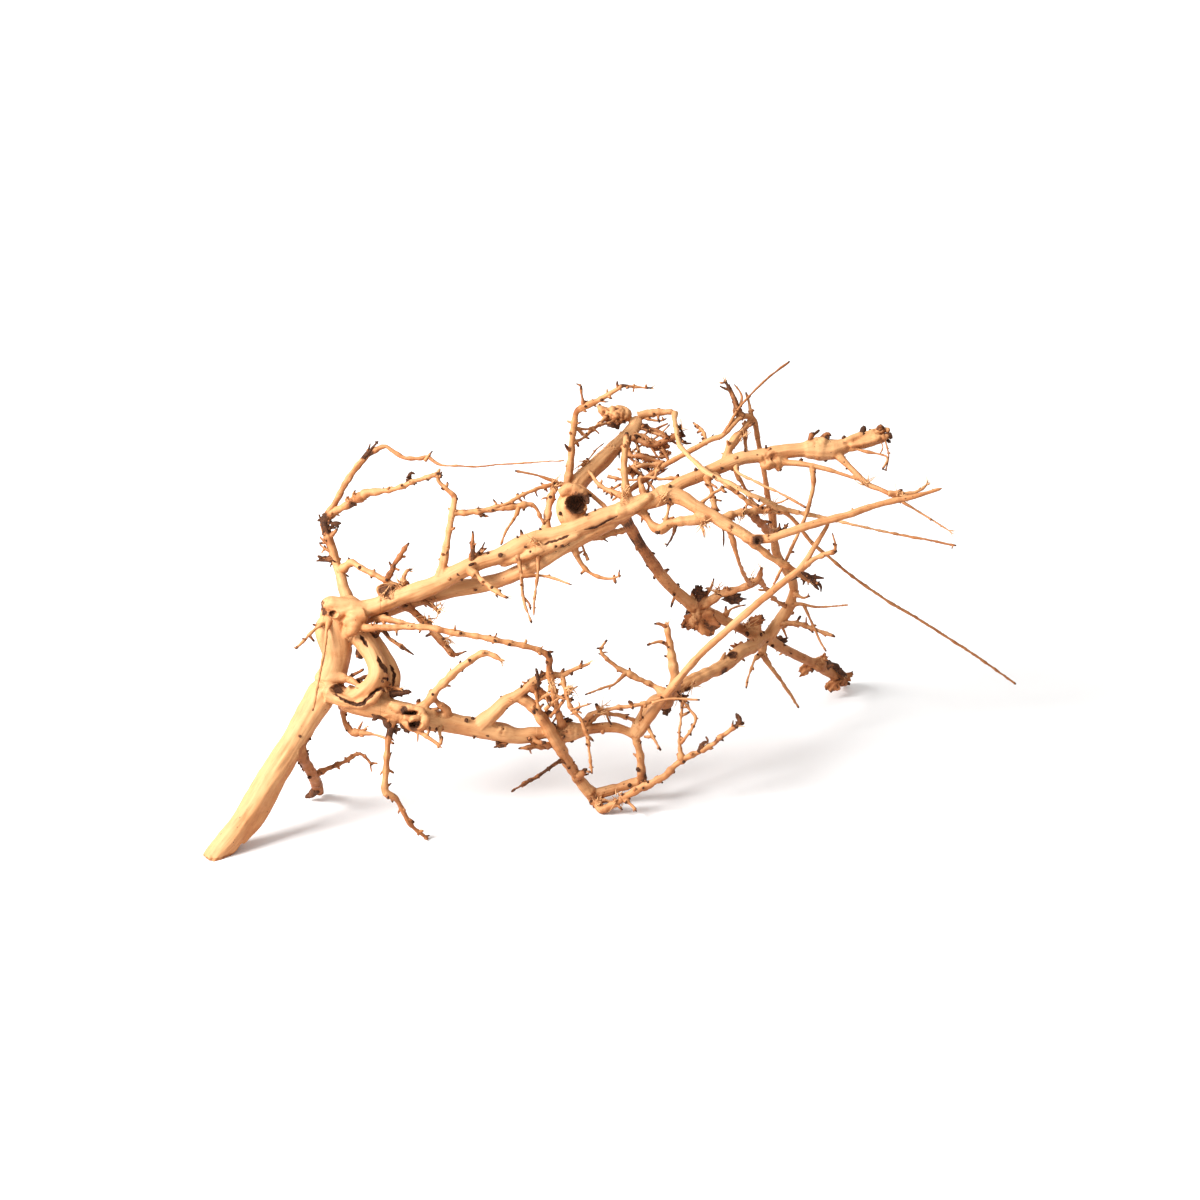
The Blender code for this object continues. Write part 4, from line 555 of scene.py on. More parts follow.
# Low ridges and folds of wood that lie on the limbs and are fused with them: stations as for a limb.
RIDGES = (
    ("trunk rib", (38, 20, 14, 7), (54, 40, 14, 10), (64, 56, 14, 9.5), (80, 84, 14, 8), (96, 112, 14, 8)),
    ("end ridge 1", (645, 419, -16, 3), (660, 425, -16, 2.6), (675, 429, -15, 2.4), (688, 430, -14, 1.8)),
    ("end ridge 2", (650, 414, -19, 2.6), (668, 418, -20, 2.4), (688, 424, -18, 1.8)),
    ("end ridge 3", (648, 410, -14, 2.6), (664, 414, -15, 2.2), (684, 419, -14, 1.6)),
    ("fold 1", (318, 300, -12, 4), (334, 306, -20, 4), (350, 313, -26, 4.2), (366, 320, -28, 4),
     (380, 326, -28, 3)),
    ("fold 2", (300, 296, -14, 3.5), (322, 302, -22, 3.2), (340, 310, -27, 3), (356, 318, -28, 2)),
    ("crown fold 1", (128, 240, 8, 5), (138, 246, 4, 4.5), (152, 252, 2, 4.5), (166, 252, 2, 3.5)),
    ("crown fold 2", (146, 222, 4, 4), (150, 232, 2, 5), (158, 242, 2, 5), (172, 250, 2, 4)),
    ("crown fold 3", (124, 252, 14, 5), (136, 258, 12, 4), (150, 260, 12, 4), (160, 256, 8, 3)),
    ("loop fold", (128, 165, 4, 7), (142, 160, -1, 5.5), (158, 156, -4, 4.5), (172, 160, -7, 4),
     (182, 170, -9, 3.5)),
    ("knot lip", (360, 366, -28, 5), (370, 371, -30, 5), (382, 367, -32, 4), (388, 357, -32, 3.4)),
    ("crown stump", (166, 252, 4, 6), (148, 254, 6, 8), (132, 256, 8, 8.5), (122, 256, 10, 8.5)),
    ("crown lobe", (166, 246, -2, 8), (154, 241, -2, 8), (144, 236, -1, 6)),
    ("frayed stub", (158, 237, -4, 5.5), (153, 230, -7, 5), (149, 224, -8, 3.6)),
    ("scar lip", (126, 180, 6, 4), (138, 182, 3, 3.8), (150, 180, 2, 3.2), (159, 175, 0, 2.6)),
    ("knot loop", (203, 150, -4, 3), (212, 152, -7, 3.4), (222, 148, -7, 3.4), (226, 139, -6, 3.6),
     (220, 130, -5, 3.4)),
    ("knot bar", (204, 143, -6, 2.6), (213, 142, -8, 3), (222, 143, -7, 2.4)),
    ("node fold", (418, 352, -32, 5), (428, 350, -33, 4), (440, 356, -33, 4), (452, 366, -32, 3.4)),
    ("lower fold", (190, 156, -2, 4), (200, 152, -3, 4.5), (222, 148, 2, 4), (238, 146, 8, 3)),
    ("elbow lobe", (572, 399, -13, 6), (566, 394, -13, 5), (560, 396, -12, 4)),
)

# Limbs whose free end is torn, with how many fibres stand out of it.
TORN_ENDS = (
    ("upper limb", 16), ("right high branch", 5), ("torn fork", 6), ("fraying branch", 10), ("torn prong", 8),
    ("middle branch", 4), ("leaning arm", 5), ("knobby twig", 6), ("burl spike", 5), ("crown rod", 4),
    ("low runner", 5), ("top spike", 4), ("hanging prong", 3), ("leaning prong", 5), ("under bark strip", 8),
    ("low hook", 4), ("grey stub", 6), ("loop stub", 5), ("high twig", 2), ("right low branch", 3),
)

# Places along a limb where its side is torn into fibres: across, up, back and how many.
TORN_SIDES = (
    (335, 318, -28, 10), (425, 367, -28, 9), (464, 362, -32, 10), (505, 333, -44, 8), (355, 375, -16, 9),
    (373, 172, -2, 9), (243, 256, 2, 8), (515, 275, 80, 7), (147, 230, -10, 9), (196, 275, -4, 9),
    (186, 264, -2, 7), (151, 232, -12, 7), (403, 150, 30, 7), (352, 176, -2, 8), (540, 345, -36, 7),
    (571, 352, -26, 7), (448, 421, 28, 8), (440, 408, 18, 7), (436, 396, 12, 6), (478, 431, 26, 6),
    (543, 425, -4, 7), (552, 300, 40, 4), (560, 245, 150, 10), (552, 238, 142, 7), (495, 172, 70, 6),
    (482, 165, 64, 6), (418, 62, 68, 6), (398, 56, 80, 6), (230, 248, 16, 7), (244, 218, 14, 6),
    (666, 376, -33, 8), (700, 364, -46, 5), (385, 400, 4, 5), (412, 414, 18, 5),
)


# The fused limbs are cut into four slabs: name, and where each begins and ends across the root, mm.
SLABS = (("trunk_and_crown", -50, 165), ("left_limbs", 165, 320), ("middle_limbs", 320, 480),
         ("right_limbs", 480, 900))


def place(across, up, back):
    """A point of the leaning sheet in metres, with the sawn end's centre at the origin."""
    return Vector((across - SAWN_END_ACROSS,
                   up * sin(LEAN) + back * cos(LEAN) - SAWN_END_BACK,
                   up * cos(LEAN) - back * sin(LEAN))) * MM


SHEET_NORMAL = Vector((0, cos(LEAN), -sin(LEAN)))


class RootSizes(bpy.types.PropertyGroup):
    """Sizes a user would change."""
    voxel: FloatProperty(name="Detail", description="Size of the finest step in the fused limbs",
                         default=1.05 * MM, min=0.6 * MM, max=4 * MM, unit="LENGTH", precision=5)
    twig_sides: IntProperty(name="Twig sides", description="Sides of a thin twig", default=12, min=5, max=24)
    ring_step: FloatProperty(name="Ring step", description="Distance between the rings of a twig",
                             default=2.4 * MM, min=1 * MM, max=20 * MM, unit="LENGTH", precision=5)
    spur_gap: FloatProperty(name="Spur gap", description="Mean distance between the spurs on a twig",
                            default=13 * MM, min=4 * MM, max=100 * MM, unit="LENGTH", precision=4)
    spur_length: FloatProperty(name="Spur length", description="Length of a usual spur",
                               default=5.5 * MM, min=1 * MM, max=30 * MM, unit="LENGTH", precision=4)
    fibre_length: FloatProperty(name="Fibre length", description="Length of a usual torn fibre",
                                default=7 * MM, min=1 * MM, max=30 * MM, unit="LENGTH", precision=4)
    seed: IntProperty(name="Seed", description="Start of the random numbers", default=7)


class RootColours(bpy.types.PropertyGroup):
    """Colours a user would change."""
    # pale also gives the painted highlight on faces towards the key light; tan and rust give the painted shade on the
    # undersides.
    pale: FloatVectorProperty(name="Pale wood", description="Lightest bare wood", subtype="COLOR", size=4,
                              min=0, max=1, default=(0.66, 0.350, 0.154, 1))
    tan: FloatVectorProperty(name="Tan wood", description="Usual bare wood", subtype="COLOR", size=4,
                             min=0, max=1, default=(0.46, 0.174, 0.057, 1))
    rust: FloatVectorProperty(name="Rusty wood", description="Wood stained by bark", subtype="COLOR", size=4,
                              min=0, max=1, default=(0.28, 0.084, 0.022, 1))
    # The bark colour also colours the painted shade in the cracks, between the lumps and by the floor.
    bark: FloatVectorProperty(name="Bark", description="Dark bark left on the wood", subtype="COLOR", size=4,
                              min=0, max=1, default=(0.026, 0.011, 0.006, 1))
    pith: FloatVectorProperty(name="Weathered bark", description="Greyer, lighter parts of the bark",
                              subtype="COLOR", size=4, min=0, max=1, default=(0.14, 0.047, 0.016, 1))


class RootStage(bpy.types.PropertyGroup):
    """The stage around the root."""
    floor_size: FloatProperty(name="Floor size", description="Width of the floor", default=30.0,
                              unit="LENGTH")
    camera_distance: FloatProperty(name="Camera distance", description="From the camera to the root",
                                   default=10.0, unit="LENGTH")
    lens: FloatProperty(name="Lens", description="Focal length in millimetres", default=300.0)


class Field:
    """A shader socket that can be used in Python sums; node() makes any other node."""

    def __init__(self, tree, socket):
        self.tree, self.socket = tree, socket

    def node(self, kind, settings=None, inputs=None, output=0):
        made = self.tree.nodes.new(kind)
        for name, value in (settings or {}).items():
            setattr(made, name, value)
        for name, value in (inputs or {}).items():
            if isinstance(value, Field):
                self.tree.links.new(value.socket, made.inputs[name])
            else:
                made.inputs[name].default_value = value
        return Field(self.tree, made.outputs[output])

    def math(self, operation, *values, clamp=False):
        return self.node("ShaderNodeMath", {"operation": operation, "use_clamp": clamp},
                         dict(enumerate(values)))

    def __add__(self, other):
        return self.math("ADD", self, other)

    __radd__ = __add__

    def __sub__(self, other):
        return self.math("SUBTRACT", self, other)

    def __rsub__(self, other):
        return self.math("SUBTRACT", other, self)

    def __mul__(self, other):
        return self.math("MULTIPLY", self, other)

    __rmul__ = __mul__

    def __pow__(self, other):
        return self.math("POWER", self, other)

    def ramp(self, low, high):
        """0 below low, 1 above high and a smooth rise between them."""
        return self.node("ShaderNodeMapRange", {"interpolation_type": "SMOOTHSTEP"},
                         {"Value": self, "From Min": low, "From Max": high})

    def mix(self, first, second, blend="MIX"):
        """Colours mixed by this value."""
        return self.node("ShaderNodeMix", {"data_type": "RGBA", "blend_type": blend, "clamp_factor": True},
                         {0: self, 6: first, 7: second}, output=2)

    def scaled(self, along, around):
        return self.node("ShaderNodeVectorMath", {"operation": "MULTIPLY"},
                         {0: self, 1: (along, around, around)})

    def noise(self, scale, detail=2.0, rough=0.5, distortion=0.0):
        return self.node("ShaderNodeTexNoise", {},
                         {"Vector": self, "Scale": scale, "Detail": detail, "Roughness": rough,
                          "Distortion": distortion})


def wood_material(colours):
    """Dry wood: pale and tan streaks along the grain, rusty stains, and dark broken bark where it is left. Faces
    towards the key light are painted paler as painted highlight, the undersides rustier as painted shade, and the bark
    attribute also brings in painted shade.
    """
    old = bpy.data.materials.get("dry_root_wood")
    if old:
        return old
    wood = bpy.data.materials.new("dry_root_wood")
    wood.use_nodes = True
    tree = wood.node_tree
    shader = tree.nodes["Principled BSDF"]
    start = Field(tree, None)
    grain = start.node("ShaderNodeAttribute", {"attribute_name": "grain"}, output=1)
    # The bark attribute holds real bark and also painted shade: the cracks, the low places between lumps and the wood
    # by the floor are darkened through it.
    bark = start.node("ShaderNodeAttribute", {"attribute_name": "bark"}, output=2)
    tone = start.node("ShaderNodeAttribute", {"attribute_name": "tone"}, output=2)
    place_in_root = start.node("ShaderNodeTexCoord", output=3)

    cloud = place_in_root.noise(38.0, 3.0, 0.55)
    patch = place_in_root.noise(150.0, 3.0, 0.6)
    speck = place_in_root.noise(900.0, 3.0, 0.65)
    streak = grain.scaled(0.035, 0.55).noise(1.0, 4.0, 0.6, 0.25)
    line = grain.scaled(0.06, 1.3).noise(1.0, 3.0, 0.6, 0.1)

    # How much a surface faces up, left and front, towards the key light: painted light read from the normal, not a
    # colour of the wood.
    painted_light_side = start.node("ShaderNodeVectorMath", {"operation": "DOT_PRODUCT"},
                         {0: start.node("ShaderNodeTexCoord", output=1), 1: (-0.35, -0.15, 0.92)}, output=1)
    # Faces towards the key light are painted paler: painted highlight.
    pale_and_painted_light_share = (cloud * 0.7 + streak * 0.75 + tone + painted_light_side * 0.55 - 0.86).ramp(0.0, 1.0)
    colour = pale_and_painted_light_share.mix(tuple(colours.tan), tuple(colours.pale))
    # Faces turned away from the key light are painted rustier: painted shade.
    rust_and_painted_shade_share = (patch * 0.8 + streak * 0.6 - tone * 0.7 + bark * 1.1
                  - painted_light_side * 0.26).ramp(0.38, 1.0) * 0.88
    colour = rust_and_painted_shade_share.mix(colour, tuple(colours.rust))
    groove = line.ramp(0.54, 0.74) * (0.25 + patch * 0.4)
    colour = groove.mix(colour, tuple(colours.rust))
    # Where the bark value is high the wood takes the bark colour: real bark, and painted shade in the cracks, between
    # lumps and by the floor.
    bark_and_painted_shade_share = (bark + (patch - 0.5) * 0.55 + (streak - 0.5) * 0.9 + (speck - 0.5) * 0.4).ramp(0.50, 0.72)
    bark_and_painted_shade_colour = (speck * 0.7 + streak * 0.5).ramp(0.46, 0.78).mix(tuple(colours.bark), tuple(colours.pith))
    colour = bark_and_painted_shade_share.mix(colour, bark_and_painted_shade_colour)
    pits = place_in_root.noise(310.0, 1.0, 0.5).ramp(0.755, 0.785) * 0.8
    colour = pits.mix(colour, tuple(colours.bark))
    tree.links.new(colour.socket, shader.inputs["Base Color"])
    shader.inputs["Specular IOR Level"].default_value = 0.25
    roughness = 0.52 + patch * 0.16 + bark_and_painted_shade_share * 0.2
    tree.links.new(roughness.socket, shader.inputs["Roughness"])
    height = line * 0.35 + streak * 0.4 + speck * (0.12 + bark_and_painted_shade_share * 0.9) + bark_and_painted_shade_share * 0.5
    bump = start.node("ShaderNodeBump", {}, {"Height": height, "Strength": 0.5, "Distance": 0.0008})
    tree.links.new(bump.socket, shader.inputs["Normal"])
    return wood


# Limbs that run straight and smooth, with hardly a knob on them.
SMOOTH_LIMBS = (
    "long straight twig", "right long branch", "pale rod", "straight stick", "top long wisp",
    "right end twig",
    "back twig", "back twig 2", "crossing twig", "right under twig", "right hanging twig", "under twig 1",
    "under twig 2", "under twig 3", "fine weave 2", "middle wisp", "middle arch", "hanging wisp",
    "low hook wisp",
    "arching strand", "leg twig", "right high branch", "second limb", "left strand", "inner loop",
    "outer loop",
    "crown bar", "drooping twig", "curled twig side",
)


def nodes_of(name, whole):
    """The places along a limb, in mm, where it is knobby and small roots left it."""
    chance = random.Random(name)
    places, s = [], 4.0 + 8 * chance.random()
    while s < whole - 1.5:
        places.append(s)
        s += 5.0 + 13.0 * chance.random()
    return places


def route_of(name, stations, step):
    """Evenly spaced (centre, radius in metres, distance in mm) on a smooth curve through the stations.

    A thin limb wanders about the curve and is thicker at each node."""
    points = [place(*s[:3]) for s in stations]
    radii = [s[3] * MM for s in stations]
    points = [2 * points[0] - points[1]] + points + [2 * points[-1] - points[-2]]
    radii = [radii[0]] + radii + [radii[-1]]
    fine = []
    for i in range(1, len(points) - 2):
        p0, p1, p2, p3 = points[i - 1:i + 3]
        count = max(2, int((p2 - p1).length / (0.5 * step)))
        for k in range(count):
            t = k / count
            point = 0.5 * (2 * p1 + (p2 - p0) * t + (2 * p0 - 5 * p1 + 4 * p2 - p3) * t * t
                           + (3 * p1 - p0 - 3 * p2 + p3) * t ** 3)
            eased = t * t * (3 - 2 * t)
            fine.append((point, radii[i] + (radii[i + 1] - radii[i]) * eased))
    fine.append((points[-2], radii[-2]))
    route, walked, total = [(fine[0][0], fine[0][1], 0.0)], 0.0, 0.0
    for before, after in zip(fine, fine[1:]):
        length = (after[0] - before[0]).length
        walked += length
        total += length
        if walked >= step or after is fine[-1]:
            route.append((after[0], after[1], total / MM))
            walked = 0.0
    whole, key, nodes = total / MM, sum(map(ord, name)) * 0.173, nodes_of(name, total / MM)
    calm = (0.25 if name in SMOOTH_LIMBS else 0.9) * (0.5 if max(radii) > 4 * MM else 1.0)
    knobby = 0.3 if name in SMOOTH_LIMBS else 1.0
    if max(radii) < 8 * MM:
        noise.seed_set(WANDER_SEED)    # without a seed of its own, vector noise starts from the clock
        for i, (centre, radius, s) in enumerate(route):
            hold = min(1.0, s / 12.0, (whole - s) / 12.0)
            wander = (noise.noise_vector((s / 17.0, key, 0.7)) * 1.3
                      + noise.noise_vector((s / 7.0, key, 4.7)) * 0.5)
            wander *= calm
            near = min((abs(s - place_on) for place_on in nodes), default=99.0) * MM
            swell = (1.0 + 0.34 * knobby * exp(-(near / (0.9 * radius + 0.7 * MM)) ** 2)
                     * min(1.0, 4 * MM / radius))
            route[i] = (centre + wander * (hold * MM),
                        max(radius * swell, (1.2 if name in THIN_WISPS else 0.7) * MM), s)
    return route


def add_layers(bm):
    return (bm.verts.layers.float_vector.new("grain"), bm.verts.layers.float.new("bark"),
            bm.verts.layers.float.new("tone"))


def sweep(bm, layers, route, sides, bark, tone, wobble=0.08, flare=1.0, dark_tip=0.0, key=0.0):
    """One limb: a disc is extruded from ring to ring along the route, swelling at nodes and wandering a little."""
    grain_layer, darkness_layer, tone_layer = layers
    aim = (route[1][0] - route[0][0]).normalized()
    frame_at_start = Matrix.Translation(route[0][0]) @ aim.to_track_quat("Z", "Y").to_matrix().to_4x4()
    start = bmesh.ops.create_circle(bm, cap_ends=True, segments=sides, radius=route[0][1] * flare,
                                    matrix=frame_at_start)
    for number, vert in enumerate(start["verts"]):
        angle = 2 * pi * number / sides
        vert[grain_layer] = (key * 97.0, route[0][1] / MM * cos(angle),
                             route[0][1] / MM * sin(angle) + key * 31.0)
        vert[darkness_layer] = bark
        vert[tone_layer] = tone
    face = start["verts"][0].link_faces[0]
    last_centre, last_radius = route[0][0], route[0][1] * flare
    whole = route[-1][2]
    for i in range(1, len(route)):
        centre, radius, s = route[i]
        onward = (route[min(i + 1, len(route) - 1)][0] - route[i - 1][0]).normalized()
        grow = 1.0 + (flare - 1.0) * exp(-s / (2.2 * radius / MM + 1e-6))
        node = noise.noise((s / (5.0 + 2.4 * radius / MM), key * 3.7, 0.3))
        width = radius * grow * (1.0 + wobble * 1.6 * node)
        left = whole - s
        if left < radius / MM:
            width *= 0.55 + 0.45 * left / (radius / MM)
        grown = bmesh.ops.extrude_discrete_faces(bm, faces=[face])["faces"][0]
        swing = aim.rotation_difference(onward).to_matrix()
        scale = width / last_radius
        dark = max(bark, dark_tip * max(0.0, min(1.0, 1.3 - left / (1.2 * radius / MM + 2.0))))
        for vert in grown.verts:
            arm = swing @ (vert.co - last_centre) * scale
            vert.co = centre + arm
            old = vert[grain_layer]
            vert[grain_layer] = (s + key * 97.0, old[1], old[2])
            vert[darkness_layer] = dark
            vert[tone_layer] = tone
        face = grown
        aim, last_centre, last_radius = onward, centre, width
    bmesh.ops.holes_fill(bm, edges=[e for e in bm.edges if e.is_boundary], sides=sides)


def roughen(bm, amount, size):
    """Moves the surface in and out by smooth noise, so no limb keeps a round section."""
    bm.normal_update()
    for vert in bm.verts:
        push = noise.noise(vert.co / size) + 0.5 * noise.noise(vert.co / (0.4 * size))
        vert.co += vert.normal * (push * amount)


def add_piece(name, bm, colours, smooth=True):
    bmesh.ops.recalc_face_normals(bm, faces=bm.faces[:])
    lowest = 0.1 * MM
    for vert in bm.verts:
        if vert.co.z < lowest:
            vert.co.z = lowest
    mesh = bpy.data.meshes.new(name)
    bm.to_mesh(mesh)
    bm.free()
    return finish_piece(name, mesh, colours, smooth)


def finish_piece(name, mesh, colours, smooth=True):
    mesh.materials.clear()
    mesh.materials.append(wood_material(colours))
    if smooth:
        mesh.shade_smooth()
    piece = bpy.data.objects.new(name, mesh)
    bpy.context.scene.collection.objects.link(piece)
    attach(piece, "root")
    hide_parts("dry_root")
    return piece


def is_thick(stations):
    return max(s[3] for s in stations) >= THICK


def tone_of(radius):
    """Thick wood is bleached, thin twigs keep their reddish skin."""
    return min(0.56, 0.10 + 0.055 * radius / MM)


def bark_of(name):
    return BARK.get(name, 0.08)


def skeleton_samples():
    """Close-set samples of every thick limb: centre, radius, distance, key, direction and the limb's name."""
    samples = []
    for number, (name, *stations) in enumerate(LIMBS):
        if not is_thick(stations):
            continue
        route = route_of(name, stations, 2.5 * MM)
        side = None
        for i, (centre, radius, s) in enumerate(route):
            aim = (route[min(i + 1, len(route) - 1)][0] - route[max(i - 1, 0)][0]).normalized()
            if side is None:
                side = aim.orthogonal().normalized()
            side = (side - aim * side.dot(aim)).normalized()
            samples.append((centre, radius, s, number * 0.37, aim, side.copy(), name))
    return samples


def near_line(point, line):
    """How far a point stands beside a line on the sheet, and the share of the line that is behind it there."""
    best, passed, walked = 1.0, 0.0, 0.0
    for start, end in zip(line, line[1:]):
        along, arm = end - start, point - start
        if arm.length < along.length + 20 * MM:
            share = min(1.0, max(0.0, arm.dot(along) / along.length_squared))
            offset = arm - along * share
            behind = offset.dot(SHEET_NORMAL)
            beside = (offset - SHEET_NORMAL * behind).length
            if abs(behind) < 13 * MM and beside < best:
                best, passed = beside, walked + share * along.length
        walked += along.length
    return best, passed / walked


class ROOT_OT_limbs(bpy.types.Operator):
    """Fuse the trunk and the thick limbs into one surface with swellings, hollows and knots"""
    bl_idname = "dry_root.limbs"
    bl_label = "Trunk and limbs"

    def execute(self, context):
        sizes, colours = context.scene.dry_root_sizes, context.scene.dry_root_colours
        rough = bpy.data.meshes.new("limbs_rough")
        gathered = bmesh.new()
        for number, (name, *stations) in enumerate(LIMBS + RIDGES):
            if not is_thick(stations) and (name, *stations) not in RIDGES:
                continue
            bm = bmesh.new()
            layers = add_layers(bm)
            thick = max(s[3] for s in stations)
            sweep(bm, layers, route_of(name, stations, 3 * MM), 20 if thick > 7 else 14,
                  0, 0, 0.05, 1.0, 0, number * .37)
            bm.to_mesh(rough)
            bm.free()
            gathered.from_mesh(rough)
        lean = Matrix.Rotation(-LEAN, 4, "X")
        for name, across, up, back, wide, high, deep in BURLS:
            size = Matrix.Diagonal((wide * MM, deep * MM, high * MM, 1))
            bmesh.ops.create_icosphere(gathered, subdivisions=4, radius=1.0,
                                       matrix=Matrix.Translation(place(across, up, back)) @ lean @ size)
        bmesh.ops.recalc_face_normals(gathered, faces=gathered.faces[:])
        gathered.to_mesh(rough)
        gathered.free()
        carrier = bpy.data.objects.new("limbs_rough", rough)
        context.scene.collection.objects.link(carrier)
        melt = carrier.modifiers.new("fuse", "REMESH")
        melt.mode = "VOXEL"
        melt.voxel_size = sizes.voxel * 1.0
        melt.adaptivity = 0.0
        soften = carrier.modifiers.new("soften", "SMOOTH")
        soften.factor = 0.5
        soften.iterations = 6
        context.view_layer.update()
        fused = bpy.data.meshes.new_from_object(carrier.evaluated_get(context.evaluated_depsgraph_get()))
        bpy.data.objects.remove(carrier, do_unlink=True)
        bm = bmesh.new()
        bm.from_mesh(fused)
        grain_layer, darkness_layer, tone_layer = add_layers(bm)
        samples = skeleton_samples()
        tree = KDTree(len(samples))
        for i, sample in enumerate(samples):
            tree.insert(sample[0], i)
        tree.balance()
        spots = [(place(a, u, b), reach * MM, strength) for a, u, b, reach, strength in DARK_SPOTS]
        hollows = [(place(a, u, b), w * MM, h * MM, d * MM) for a, u, b, w, h, d in HOLLOWS]
        cracks = [(w * MM, d * MM, [place(*spot) for spot in line]) for w, d, *line in CRACKS]
        ragged = [(place(a, u, b), reach * MM, amount * MM) for a, u, b, reach, amount in RAGGED]
        up_sheet = Vector((0, sin(LEAN), cos(LEAN)))
        bm.normal_update()
        moves = []
        for vert in bm.verts:
            co = vert.co
            best = min(tree.find_n(co, 5), key=lambda hit: hit[2] - samples[hit[1]][1])
            centre, radius, s, key, aim, side, name = samples[best[1]]
            arm = co - centre
            around = aim.cross(side)
            x, y = arm.dot(side), arm.dot(around)
            along = s + arm.dot(aim) / MM
            vert[grain_layer] = (along + key * 97.0, x / MM, y / MM + key * 31.0)
            flat = Vector((x, y))
            turn = flat.normalized() if flat.length > 1e-6 else Vector((1, 0))
            lobes = noise.noise((along / 42.0, turn.x * 1.3 + key * 5, turn.y * 1.3))
            ridges = noise.noise((along / 26.0, turn.x * 3.2, turn.y * 3.2 + key * 3))
            bumps = noise.noise(co / (9 * MM))
            push = radius * (0.13 * lobes + 0.055 * ridges) + 0.45 * MM * bumps
            dark = bark_of(name) * (0.75 + 0.5 * noise.noise(co / (14 * MM)))
            for spot, reach, strength in spots:
                gap = (co - spot).length
                if gap < 1.6 * reach:
                    dark = max(dark, strength * (1.15 - (gap / reach) ** 2 * 0.55))
            for centre_of_hollow, wide, high, deep in hollows:
                offset = co - centre_of_hollow
                if offset.length < 3 * wide and vert.normal.dot(SHEET_NORMAL) < 0.3:
                    u, v = offset.x / wide, offset.dot(up_sheet) / high
                    far = u * u + v * v
                    if far < 2.4 and abs(offset.dot(SHEET_NORMAL)) < 14 * MM:
                        rim = noise.noise(co / (4 * MM)) * 0.35
                        depth = max(0.0, 1 - far * (1 + rim))
                        lip = exp(-((far - 1.25) / 0.35) ** 2) * 0.16
                        moves.append((vert, SHEET_NORMAL * (deep * (depth ** 0.5 if depth > 0 else 0))
                                      + vert.normal * (deep * lip)))
            facing = vert.normal.dot(SHEET_NORMAL)
            if facing < 0.35:
                for half_width, depth, line in cracks:
                    reach, passed = near_line(co, line)
                    if reach < half_width * 1.6:
                        taper = min(1.0, 0.3 + 3.2 * min(passed, 1 - passed))
                        wide = half_width * taper * (1 + 0.7 * noise.noise(co / (3.5 * MM)))
                        share = max(0.0, 1 - (reach / (wide * 1.25)) ** 2)
                        moves.append((vert, SHEET_NORMAL * (depth * share * taper)))
                        # The inside of the crack is painted dark: painted shade in the crease.
                        dark = max(dark, 1.2 * max(0.0, 1 - reach / (wide * 1.5)) ** 0.5)
            for heart, reach, amount in ragged:
                gap = (co - heart).length
                if gap < reach:
                    fade = min(1.0, 1.6 * (1 - gap / reach))
                    lumps = 1.5 * abs(noise.noise(co / (8.5 * MM))) + 0.5 * noise.noise(co / (3 * MM)) - 0.1
                    moves.append((vert, vert.normal * (amount * fade * lumps)))
                    # Rough places darken partly as bark, and most where the surface sinks between lumps: painted
                    # shade.
                    dark = max(dark, fade * (0.30 - 1.1 * lumps + 0.5 * noise.noise(co / (8 * MM))))
            # Wood within 3 mm of the floor is painted darker: painted contact shade where it rests on the floor.
            if co.z < 3 * MM:
                dark = max(dark, 0.42)
            # The darkness stored here is bark, and painted shade from the cracks, the lumps and the floor.
            vert[darkness_layer] = min(1.0, max(0.0, dark))
            vert[tone_layer] = tone_of(radius) + 0.25 * noise.noise(co / (45 * MM)) - 0.25 * abs(ridges)
            moves.append((vert, vert.normal * push))
        for vert, move in moves:
            vert.co += move
        # the sawn end is flat and lies on the floor
        bmesh.ops.bisect_plane(bm, geom=bm.verts[:] + bm.edges[:] + bm.faces[:], plane_co=(0, 0, 0.1 * MM),
                               plane_no=(0, 0, 1), clear_inner=True)
        bmesh.ops.holes_fill(bm, edges=[e for e in bm.edges if e.is_boundary])
        for piece_name, left, right in SLABS:
            slab = bm.copy()
            for across, outer in ((left, False), (right, True)):
                bmesh.ops.bisect_plane(slab, geom=slab.verts[:] + slab.edges[:] + slab.faces[:],
                                       plane_co=(across * MM, 0, 0), plane_no=(1, 0, 0), clear_outer=outer,
                                       clear_inner=not outer)
                bmesh.ops.holes_fill(slab, edges=[e for e in slab.edges if e.is_boundary])
            bmesh.ops.triangulate(slab, faces=[f for f in slab.faces if len(f.verts) > 4])
            mesh = bpy.data.meshes.new(piece_name)
            slab.to_mesh(mesh)
            slab.free()
            finish_piece(piece_name, mesh, colours)
        bm.free()
        return {"FINISHED"}


